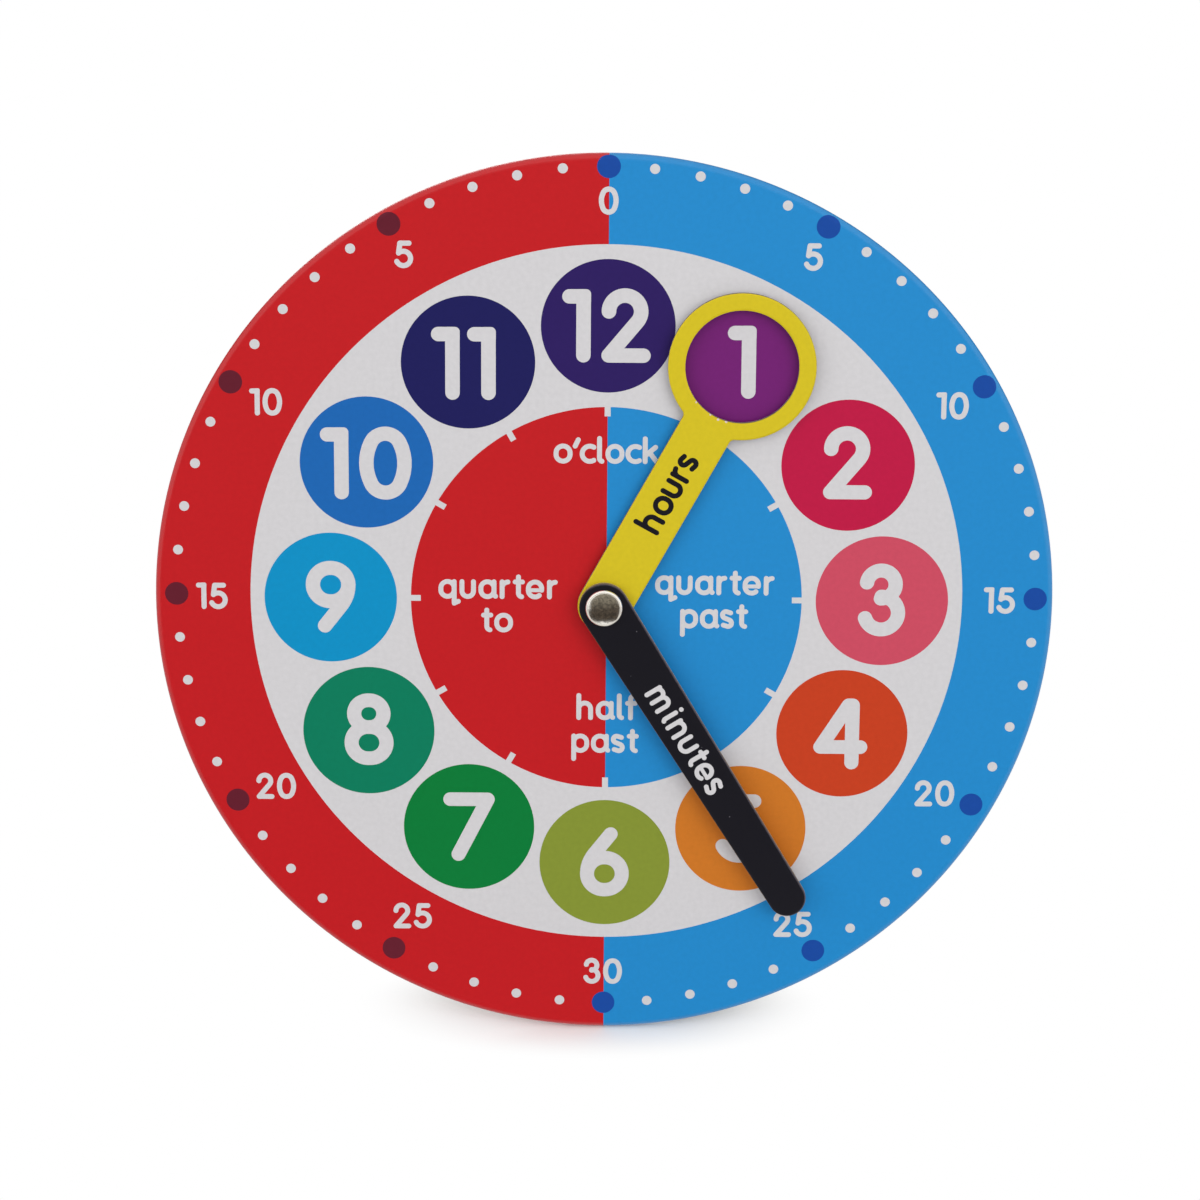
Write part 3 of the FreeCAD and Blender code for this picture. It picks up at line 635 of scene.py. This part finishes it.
def write_figures(mesh, text, size, pen, centre, lefts=None, gap=0.0):
    """Write figures level, centred at a point, or with the left edge of each ink where given."""
    widths = [FIGURES[figure][0] * size + pen for figure in text]
    if lefts is None:
        span = sum(widths) + gap * (len(text) - 1)
        lefts = [sum(widths[:i]) + gap * i - span / 2 for i in range(len(text))]
    for figure, left in zip(text, lefts):
        corner = Vector((centre[0] + left + pen / 2, centre[1] - size / 2, 0))
        for start, *runs in FIGURES[figure][1:]:
            pen_stroke(mesh, start, runs, size, pen, corner)


numerals = new_mesh()
for hour in range(1, 13):
    middle = round_the_dial(HOUR_RING, 30 * hour, (0, HOUR_RAISES.get(hour, 0)))
    write_figures(numerals.data, str(hour), HOUR_CAP, HOUR_PEN, middle, HOUR_LEFTS.get(str(hour)))
unite_strokes(numerals)
place_piece(numerals, "hour_numerals", raised(ARTWORK, 2 * FILM), white_print)

# ----------------------------------------------------------
# Minute numerals. The fives, white on the red and the blue, just inside their dots. They count
# on to 30 down the right side and back to 5 up the left.
# ----------------------------------------------------------
MINUTE_CAP = 7.4
MINUTE_PEN = 1.7
MINUTE_GAP = 0.9
# Middle of each numeral, in mm from the middle of the ring of dots.
MINUTE_PLACES = (
    ("0", 0, 132.7), ("5", 67.3, 114.7), ("10", 114.3, 65.5), ("15", 132.0, -0.6),
    ("20", 112.2, -68.2), ("25", 64.9, -115.3), ("30", -0.2, -132.7), ("25", -65.5, -113.1),
    ("20", -111.6, -67.1), ("15", -132.2, -0.8), ("10", -113.1, 65.3), ("5", -67.1, 114.7))

minute_numerals = new_mesh()
for text, x, y in MINUTE_PLACES:
    write_figures(minute_numerals.data, text, MINUTE_CAP, MINUTE_PEN,
                  (x + DOT_CENTRE[0], y + DOT_CENTRE[1]), gap=MINUTE_GAP)
unite_strokes(minute_numerals)
place_piece(minute_numerals, "minute_numerals", ARTWORK, white_print)

# ----------------------------------------------------------
# Words on the dial. The four phrases that a child reads the time with, white, in the same round
# pen as the figures.
# ----------------------------------------------------------
WORD_HEIGHT = 5.12                  # mm, pen's centre at foot and head of a small letter
WORD_PEN = 1.64
# Each letter: how far on the next one starts, then its strokes, in units of a small letter.
LETTERS = {
    "a": (1.39, ((0, 0.43, 90), 0.14, (0.43, -180), 0.14, (0.43, -180)),
          ((0.86, 1, 270), 0.8, (0.2, 60))),
    "c": (1.125, ((0.757, 0.932, 155), 0.05, (0.5, 230), 0.05)),
    "e": (1.38, ((0.04, 0.45, 0, 0.8), 0.79), ((0.87, 0.45, 90), 0.115, (0.435, 180), 0.13,
                                               (0.435, 130))),
    "f": (0.8, ((0.2, 0, 90), 1.28, (0.23, -75)), ((0, 1, 0), 0.5)),
    "h": (1.28, ((0, 1.51, 270), 1.51), ((0, 0.61, 90), (0.39, -180), 0.61)),
    "i": (0.62, ((0, 1, 270), 0.8, (0.2, 60)), ((0, 1.42, 0), 0.01)),
    "k": (1.2, ((0, 1.51, 270), 1.51), ((0.67, 0.95, 220.5), 0.816), ((0.28, 0.62, -53.4), 0.772)),
    "l": (0.55, ((0, 1.51, 270), 1.29, (0.22, 75))),
    "m": (2.02, ((0, 1, 270), 1), ((0, 0.67, 90), (0.33, -180), 0.67),
          ((0.66, 0.67, 90), (0.33, -180), 0.67)),
    "n": (1.284, ((0, 1, 270), 1), ((0, 0.62, 90), (0.38, -180), 0.62)),
    "o": (1.29, ((0, 0.455, 90), 0.09, (0.455, -180), 0.09, (0.455, -180))),
    "p": (1.3, ((0, 1, 270), 1.56), ((0, 0.43, 90), 0.14, (0.43, -180), 0.14, (0.43, -180))),
    "q": (1.38, ((0, 0.435, 90), 0.13, (0.435, -180), 0.13, (0.435, -180)),
          ((0.87, 1, 270), 1.453), ((0.87, -0.453, 24.5), 0.297)),
    "r": (0.86, ((0, 1, 270), 1), ((0, 0.6, 90), (0.39, -80), 0.06)),
    "s": (0.98, ((0.463, 0.912, 162), 0.25, (0.225, 175), 0.3475, (0.225, -175), 0.25)),
    "t": (0.86, ((0.21, 1.34, 270), 1.09, (0.25, 80)), ((0, 1, 0), 0.47)),
    "u": (1.24, ((0, 1, 270), 0.6225, (0.3775, 180), 0.6225)),
    "'": (0.404, ((0.15, 1.42, 244.5), 0.465)),
}
# Each line: its text, and the pen's centre at the left and at the foot of its first letter.
WORD_PLACES = (
    ("o'clock", -17.05, 47.05), ("quarter", -55.5, 0.6), ("to", -41.2, -10.9),
    ("quarter", 17.15, 2.4), ("past", 25.65, -9.15), ("half", -9.05, -41.25),
    ("past", -10.7, -52.8))


def write_word(mesh, text, size, pen, left, foot):
    """Write a line of letters from its left end."""
    for letter in text:
        advance, *strokes = LETTERS[letter]
        for start, *runs in strokes:
            pen_stroke(mesh, start, runs, size, pen, Vector((left, foot, 0)))
        left += advance * size


words = new_mesh()
for text, left, foot in WORD_PLACES:
    write_word(words.data, text, WORD_HEIGHT, WORD_PEN, left, foot)
unite_strokes(words)
place_piece(words, "dial_words", ARTWORK, white_print)

# ----------------------------------------------------------
# Back liner. Uncoated white paper glued over the back and the turned-in edge of the sheet: matt,
# faintly yellow, with a felt-like tooth.
# ----------------------------------------------------------
LINER = "CFCBC2"
FELT = 0.8                          # mm
CLOUDS = 9.0                        # mm; patches where the pulp is thinner


def uncoated_paper(name, colour):
    """Uncoated wood-free paper: matt, with soft clouds and a felt tooth."""
    paper, tree, spot = new_finish(name)
    clouds = node(tree, "TexNoise", {"Vector": spot, "Scale": 1 / CLOUDS, "Detail": 5.0})
    level = node(tree, "MapRange", {0: clouds, 1: 0.3, 2: 0.7, 3: 0.95, 4: 1.04})
    tint = node(tree, "HueSaturation", {"Value": level, "Color": linear(colour)})
    felt = node(tree, "TexNoise", {"Vector": spot, "Scale": 1 / FELT, "Detail": 3.0})
    bump = node(tree, "Bump", {"Height": felt, "Strength": 0.5, "Distance": 0.04 * MM})
    shader = node(tree, "BsdfPrincipled", {
        "Base Color": tint, "Roughness": 0.8, "Specular IOR Level": 0.3, "Normal": bump})
    node(tree, "OutputMaterial", {"Surface": shader})
    return paper


finish(uncoated_paper("uncoated_liner", LINER), "dial_liner")

# ----------------------------------------------------------
# Eyelet and washers. A brass eyelet lines the hole in the board, and natural nylon washers keep
# the hands off the print and off each other.
# ----------------------------------------------------------
BRASS = "C09A4E"
NYLON = "DEDCD2"
NYLON_GRAIN = 0.6                   # mm


def turned_metal(name, colour, roughness, grain, smear):
    """Plated or bare metal with faint wear: patches of a size in mm, a little duller by a smear,
    and a trace of dents."""
    metal, tree, spot = new_finish(name)
    patches = node(tree, "TexNoise", {"Vector": spot, "Scale": 1 / grain, "Detail": 4.0})
    dull = node(tree, "MapRange", {0: patches, 1: 0.3, 2: 0.7, 3: roughness, 4: roughness + smear})
    level = node(tree, "MapRange", {0: patches, 1: 0.3, 2: 0.7, 3: 1.06, 4: 0.86})
    tint = node(tree, "HueSaturation", {"Value": level, "Color": linear(colour)})
    dents = node(tree, "TexNoise", {"Vector": spot, "Scale": 1 / (2 * grain), "Detail": 2.0})
    bump = node(tree, "Bump", {"Height": dents, "Strength": 0.5, "Distance": 0.04 * MM})
    shader = node(tree, "BsdfPrincipled", {
        "Base Color": tint, "Metallic": 1.0, "Roughness": dull, "Normal": bump})
    node(tree, "OutputMaterial", {"Surface": shader})
    return metal


def natural_nylon():
    """Stamped nylon: milky, with light passing a little way in, and a soft sheen."""
    nylon, tree, spot = new_finish("natural_nylon")
    grain = node(tree, "TexNoise", {"Vector": spot, "Scale": 1 / NYLON_GRAIN, "Detail": 2.0})
    level = node(tree, "MapRange", {0: grain, 3: 0.95, 4: 1.03})
    tint = node(tree, "HueSaturation", {"Value": level, "Color": linear(NYLON)})
    shader = node(tree, "BsdfPrincipled", {
        "Base Color": tint, "Roughness": 0.42, "IOR": 1.53, "Subsurface Weight": 0.3,
        "Subsurface Radius": (0.001, 0.001, 0.0008)})
    node(tree, "OutputMaterial", {"Surface": shader})
    return nylon


finish(turned_metal("plain_brass", BRASS, 0.25, 1.5, 0.15), "dial_eyelet")
finish(natural_nylon(), "dial_washer", "hand_washer")

# ----------------------------------------------------------
# Cap rivet. Pressed steel with bright nickel plate: a hollow post with a cap at each end, crimped
# over it with a rolled edge. Each cap is spun from one outline, with a fine groove between the
# rolled edge and the crown. Handling has stained the front one.
# ----------------------------------------------------------
NICKEL = "DAD6CE"
CAP_HEIGHT = 2.3
CAP_METAL = 0.35
CAP_CRIMP = 4.6                     # radius where the rolled edge ends underneath
CROWN_RADIUS = 5.2                  # fingers stain the cap within this
CROWN_FACETS = 24
SHOULDER_MIDDLE = (4.5, -0.47)      # centre of the shoulder's round, as radius and height
SHOULDER_ROUND = 1.94
SHOULDER_FOOT = 27.0                # degrees up that round, where the rolled edge ends
SHOULDER_TOP = 69.0                 # where the crown begins
HOLLOW_FOOT = 36.0                  # where the hollow begins, inside
LIP_MIDDLE = (6.0, 0.3)
LIP_ROUND = 0.25
GROOVE_AT = 58.0                    # degrees up the shoulder
GROOVE_FLOOR = 1.0                  # degrees
GROOVE_SIDE = 2.5
GROOVE = 0.18                       # mm deep
CAP_STEPS = 96
FRONT_SEAT = 6.92                   # mm from the dial's face
REAR_SEAT = -5.8
STAIN = 1.1                         # mm


def crown(radius, foot, top):
    """Points of a shallow dome from its rim to the axis."""
    ball = (radius ** 2 + (top - foot) ** 2) / (2 * (top - foot))
    spread = math.degrees(math.asin(radius / ball))
    return rounded((0, top - ball), ball, 90 - spread, 90, CROWN_FACETS)


def cap_outline():
    """Shell of a cap: out under the crown, round the crimped lip, and back over the shoulder."""
    groove_end = GROOVE_AT + GROOVE_FLOOR
    hollow = rounded(SHOULDER_MIDDLE, SHOULDER_ROUND - CAP_METAL, SHOULDER_TOP, HOLLOW_FOOT)
    lower = rounded(SHOULDER_MIDDLE, SHOULDER_ROUND, SHOULDER_FOOT, GROOVE_AT - GROOVE_SIDE)
    groove = rounded(SHOULDER_MIDDLE, SHOULDER_ROUND - GROOVE, GROOVE_AT, groove_end, 1)
    upper = rounded(SHOULDER_MIDDLE, SHOULDER_ROUND, groove_end + GROOVE_SIDE, SHOULDER_TOP)
    ceiling = crown(*hollow[0], CAP_HEIGHT - CAP_METAL)[:0:-1]
    crimp = LIP_MIDDLE[1] - LIP_ROUND
    return [*ceiling, *hollow, (CAP_CRIMP, crimp + CAP_METAL), (CAP_CRIMP, crimp),
            *rounded(LIP_MIDDLE, LIP_ROUND, -90, SHOULDER_FOOT), *lower, *groove, *upper,
            *crown(*upper[-1], CAP_HEIGHT)[1:]]


def stained_nickel():
    """Bright nickel plate that fingers have dulled in blotches."""
    metal, tree, spot = new_finish("nickel")
    blotches = node(tree, "TexNoise", {"Vector": spot, "Scale": 1 / STAIN, "Detail": 5.0,
                                       "Roughness": 0.6, "Distortion": 0.6})
    dull = node(tree, "MapRange", {0: blotches, 1: 0.38, 2: 0.62, 3: 0.1, 4: 0.24})
    level = node(tree, "MapRange", {0: blotches, 1: 0.38, 2: 0.62, 3: 1.3, 4: 0.5})
    crowned = node(tree, "VectorMath", {0: spot, 1: (1, 1, 0)}, operation="MULTIPLY")
    radius = node(tree, "VectorMath", {0: crowned}, operation="LENGTH")
    handled = node(tree, "MapRange", {0: radius.outputs["Value"], 1: CROWN_RADIUS,
                                      2: CROWN_RADIUS - 1})
    value = node(tree, "Mix", {0: handled, 2: 1.1, 3: level})
    tint = node(tree, "HueSaturation", {"Value": value, "Color": linear(NICKEL)})
    dents = node(tree, "TexNoise", {"Vector": spot, "Scale": 0.5 / STAIN, "Detail": 2.0})
    bump = node(tree, "Bump", {"Height": dents, "Strength": 0.6, "Distance": 0.06 * MM})
    shader = node(tree, "BsdfPrincipled", {
        "Base Color": tint, "Metallic": 1.0, "Roughness": dull, "Normal": bump})
    node(tree, "OutputMaterial", {"Surface": shader})
    return metal


nickel = turned_metal("bright_nickel", NICKEL, 0.12, 1.3, 0.1)
finish(nickel, "rivet_stem", "rivet_post")
for end, seat, turn, metal in (("front", FRONT_SEAT, 0, stained_nickel()),
                               ("rear", REAR_SEAT, math.pi, nickel)):
    cap = spin_profile(cap_outline(), CAP_STEPS)
    seated = DIAL @ Matrix.Translation((0, 0, seat)) @ Matrix.Rotation(turn, 4, "X")
    place_piece(cap, f"{end}_cap", seated, metal)
    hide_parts(f"rivet_{end}_cap")

# ----------------------------------------------------------
# Rear washers. Behind the board a flat steel washer and a curved one, bright zinc, squeeze the
# stack so that the hands stay where they are put.
# ----------------------------------------------------------
ZINC = "C2C4C6"

finish(turned_metal("bright_zinc", ZINC, 0.26, 1.8, 0.14), "rear_washer", "spring_washer")

# ----------------------------------------------------------
# Hour hand. Greyboard between a yellow printed sheet and a backing sheet, cut out with a blade
# that presses the printed edge round. The word along its stem is printed black.
# ----------------------------------------------------------
YELLOW = "D1BC1F"
BACKING = "D2CEC6"
PRINT_BLACK = "1A1920"
BARE_EDGE = "7A6448"                # greyboard and paper, darkened by the blade and by handling
EDGE_SHEEN_PAINT = 0.3                        # how much of a pressed edge's ink is painted paler at most: a painted highlight
# Paler yellow painted on the hour hand's pressed edge: a painted highlight.
SHEEN_PAINT_YELLOW = "F0CE2A"
FRAY = 0.16                         # mm that the border of the ink wanders up and down
SHEEN_PAINT_LEVELS = (0.04, -0.1)           # mm above the face, where the painted highlight starts and is full
INK_END = (0.11, 0.05)              # mm above the cut, where the ink starts to end and has ended
SHEEN_PAINT_SIDE = (-2.0, 3.0)                # mm across the hand, to the edge that gets the painted highlight
CHIP = "D9C6C4"
HOUR_PRESS = 0.3                    # mm below the face where the print ends at the cut
WINDOW_CHIPS = ((74.9, 7.4, 0.3), (73.6, 1.3, 0.3), (73.4, -1.7, 0.4), (74.1, -4.4, 0.4))
HOUR_DIRECTION = 29.0               # degrees clockwise from 12
HOUR_FACE = 3.83                    # mm above the dial's face
HOURS_START = 30.35                 # mm from the pivot to the pen's centre in the first letter
HOURS_FOOT = -2.9
HOURS_HEIGHT = 5.24
HOURS_PEN = 1.7


def along_hand(degrees, level):
    """Frame of a hand: x from the pivot to its tip, z out of the dial."""
    return DIAL @ Matrix.Rotation(math.radians(90 - degrees), 4, "Z") @ Matrix.Translation(
        (0, 0, level))


def spots_on(tree, spot, under, colour, spots):
    """Small ragged spots (x, y, radius in mm) of another colour over what is under them."""
    ragged = node(tree, "TexNoise", {"Vector": spot, "Scale": 4.0, "Detail": 2.0})
    flat = node(tree, "VectorMath", {0: spot, 1: (1, 1, 0)}, operation="MULTIPLY")
    for x, y, radius in spots:
        away = node(tree, "VectorMath", {0: flat, 1: (x, y, 0)}, operation="DISTANCE")
        far = node(tree, "Math", {0: ragged, 1: radius, 2: away.outputs["Value"]},
                   operation="MULTIPLY_ADD")
        inside = node(tree, "MapRange", {0: far, 1: 1.7 * radius, 2: 1.3 * radius})
        under = node(tree, "Mix", {0: inside, 6: under, 7: linear(colour)},
                     data_type="RGBA").outputs[2]
    return under


def cut_print(ink, sheen_paint, press, colour, spots):
    """Ink on a hand: painted paler on one side of its pressed edge, as a painted highlight, ended
    where the blade went in, and with a few spots of paper or dust."""
    def drawn(tree, spot):
        way = node(tree, "SeparateXYZ", {0: spot})
        height = way.outputs["Z"]
        frayed = node(tree, "TexNoise", {"Vector": spot, "Scale": 0.9, "Detail": 4.0})
        level = node(tree, "Math", {0: frayed, 1: FRAY, 2: height}, operation="MULTIPLY_ADD")
        # Paler ink on one side of the pressed edge, near its top: a painted highlight.
        low = node(tree, "MapRange", {0: level, 1: SHEEN_PAINT_LEVELS[0], 2: SHEEN_PAINT_LEVELS[1], 4: EDGE_SHEEN_PAINT},
                   interpolation_type="SMOOTHSTEP")
        sheen_side = node(tree, "MapRange", {0: way.outputs["Y"], 1: SHEEN_PAINT_SIDE[0], 2: SHEEN_PAINT_SIDE[1]})
        painted_sheen = node(tree, "Math", {0: low, 1: sheen_side}, operation="MULTIPLY")
        sheened = node(tree, "Mix", {0: painted_sheen, 6: linear(ink), 7: linear(sheen_paint)}, data_type="RGBA")
        bare = node(tree, "MapRange", {0: level, 1: INK_END[0] - press, 2: INK_END[1] - press})
        inked = node(tree, "Mix", {0: bare, 6: sheened.outputs[2], 7: linear(BARE_EDGE)},
                     data_type="RGBA")
        return spots_on(tree, spot, inked.outputs[2], colour, spots)
    return drawn


hour_frame = along_hand(HOUR_DIRECTION, HOUR_FACE)
finish(board_material, "hour_hand_board")
# The yellow's pressed edge carries a painted highlight.
yellow_ink = cut_print(YELLOW, SHEEN_PAINT_YELLOW, HOUR_PRESS, CHIP, WINDOW_CHIPS)
finish(laminated_print("yellow_print", hour_frame, yellow_ink), "hour_hand_print")
backing_paper = uncoated_paper("backing_paper", BACKING)
finish(backing_paper, "hour_hand_backing")

hours_word = new_mesh()
write_word(hours_word.data, "hours", HOURS_HEIGHT, HOURS_PEN, HOURS_START, HOURS_FOOT)
unite_strokes(hours_word)
place_piece(hours_word, "hour_hand_word", hour_frame,
            laminated_print("black_word_print", hour_frame, PRINT_BLACK),
            "hour_hand")

# ----------------------------------------------------------
# Minute hand. The same card, printed black, tapered to a round tip, with its word in white.
# Black shows the dust and the chips that handling leaves.
# ----------------------------------------------------------
MINUTE_DIRECTION = 148.1
MINUTE_FACE = 6.89
MINUTES_START = 32.85
MINUTES_FOOT = -3.4
MINUTES_HEIGHT = 5.1
MINUTES_PEN = 1.56
MINUTE_PRESS = 0.32
# Pale violet-grey painted on the minute hand's pressed edge: a painted highlight.
SHEEN_PAINT_BLACK = "807A88"
DUST = "77747C"
DUST_SPECKS = ((12.4, 5.1, 0.16), (83.7, -1.7, 0.16), (58.0, 2.9, 0.1), (24.5, -4.5, 0.1))

minute_frame = along_hand(MINUTE_DIRECTION, MINUTE_FACE)
# The black's pressed edge carries a painted highlight.
black_ink = cut_print(PRINT_BLACK, SHEEN_PAINT_BLACK, MINUTE_PRESS, DUST, DUST_SPECKS)
finish(board_material, "minute_hand_board")
finish(laminated_print("black_print", minute_frame, black_ink), "minute_hand_print")
finish(backing_paper, "minute_hand_backing")

minutes_word = new_mesh()
write_word(minutes_word.data, "minutes", MINUTES_HEIGHT, MINUTES_PEN, MINUTES_START, MINUTES_FOOT)
unite_strokes(minutes_word)
place_piece(minutes_word, "minute_hand_word", minute_frame,
            laminated_print("white_word_print", minute_frame, PAPER_WHITE),
            "minute_hand")

# ----------------------------------------------------------
# Easel. A card glued to the back carries the hinge, and the strut hangs from it. Both are
# greyboard in black bookbinding paper, embossed with a fine linen weave.
# ----------------------------------------------------------
COVER_BLACK = "2E2E32"
LINEN = 0.9                         # mm between threads; coarser than real, so that it shows
SLUB = 1.5                          # mm; thick places in the threads


def bookbinding_paper():
    """Black covering paper, matt, embossed as linen: two sets of fine ridges that cross. Its colour
    follows the relief: painted highlight on the ridges, painted shade in the hollows.
    """
    paper, tree, spot = new_finish("bookbinding_paper")
    way = node(tree, "SeparateXYZ", {0: spot})
    ridges = []
    for axis in "XY":
        wave = node(tree, "Math", {0: way.outputs[axis], 1: 2 * math.pi / LINEN},
                    operation="MULTIPLY")
        ridges.append(node(tree, "Math", {0: wave}, operation="SINE"))
    weave = node(tree, "Math", {0: ridges[0], 1: ridges[1]}, operation="MULTIPLY")
    slubs = node(tree, "TexNoise", {"Vector": spot, "Scale": 1 / SLUB, "Detail": 3.0})
    relief_and_painted_shade = node(tree, "Math", {0: weave, 1: slubs})
    # Lighter on the ridges and darker in the hollows: painted highlight and painted shade of the
    # weave.
    level = node(tree, "MapRange", {0: relief_and_painted_shade, 1: -0.5, 2: 1.5, 3: 0.6, 4: 1.7})
    tint = node(tree, "HueSaturation", {"Value": level, "Color": linear(COVER_BLACK)})
    bump = node(tree, "Bump", {"Height": relief_and_painted_shade, "Strength": 0.8, "Distance": 0.08 * MM})
    shader = node(tree, "BsdfPrincipled", {
        "Base Color": tint, "Roughness": 0.5, "Specular IOR Level": 0.5, "Normal": bump})
    node(tree, "OutputMaterial", {"Surface": shader})
    return paper


finish(bookbinding_paper(), "easel_card_cover", "strut_cover")
finish(board_material, "easel_card", "strut_board")

# ----------------------------------------------------------
# Hinge. Two stamped leaves of zinc-plated steel on a loose pin, each held by three brass rivets.
# The leaves were brushed across before they were bent.
# ----------------------------------------------------------
BRUSHED = (0.05, 4.0, 4.0)          # lines in a millimetre: long along the hinge, fine across it
ZINC_CLOUDS = 6.0                   # mm


def brushed_zinc():
    """Bright zinc over brushed steel: fine lines along the hinge, with dull clouds."""
    metal, tree, spot = new_finish("brushed_zinc")
    drawn = node(tree, "Mapping", {0: spot, "Scale": BRUSHED})
    lines = node(tree, "TexNoise", {"Vector": drawn, "Scale": 1.0, "Detail": 4.0})
    clouds = node(tree, "TexNoise", {"Vector": spot, "Scale": 1 / ZINC_CLOUDS, "Detail": 4.0})
    dull = node(tree, "MapRange", {0: clouds, 1: 0.3, 2: 0.7, 3: 0.27, 4: 0.42})
    level = node(tree, "MapRange", {0: lines, 1: 0.3, 2: 0.7, 3: 0.88, 4: 1.06})
    tint = node(tree, "HueSaturation", {"Value": level, "Color": linear(ZINC)})
    bump = node(tree, "Bump", {"Height": lines, "Strength": 0.4, "Distance": 0.02 * MM})
    shader = node(tree, "BsdfPrincipled", {
        "Base Color": tint, "Metallic": 1.0, "Roughness": dull, "Normal": bump})
    node(tree, "OutputMaterial", {"Surface": shader})
    return metal


finish(brushed_zinc(), "fixed_hinge_leaf", "strut_hinge_leaf", "hinge_pin")
finish(turned_metal("rivet_brass", BRASS, 0.3, 1.2, 0.15), "card_rivets", "strut_rivets")
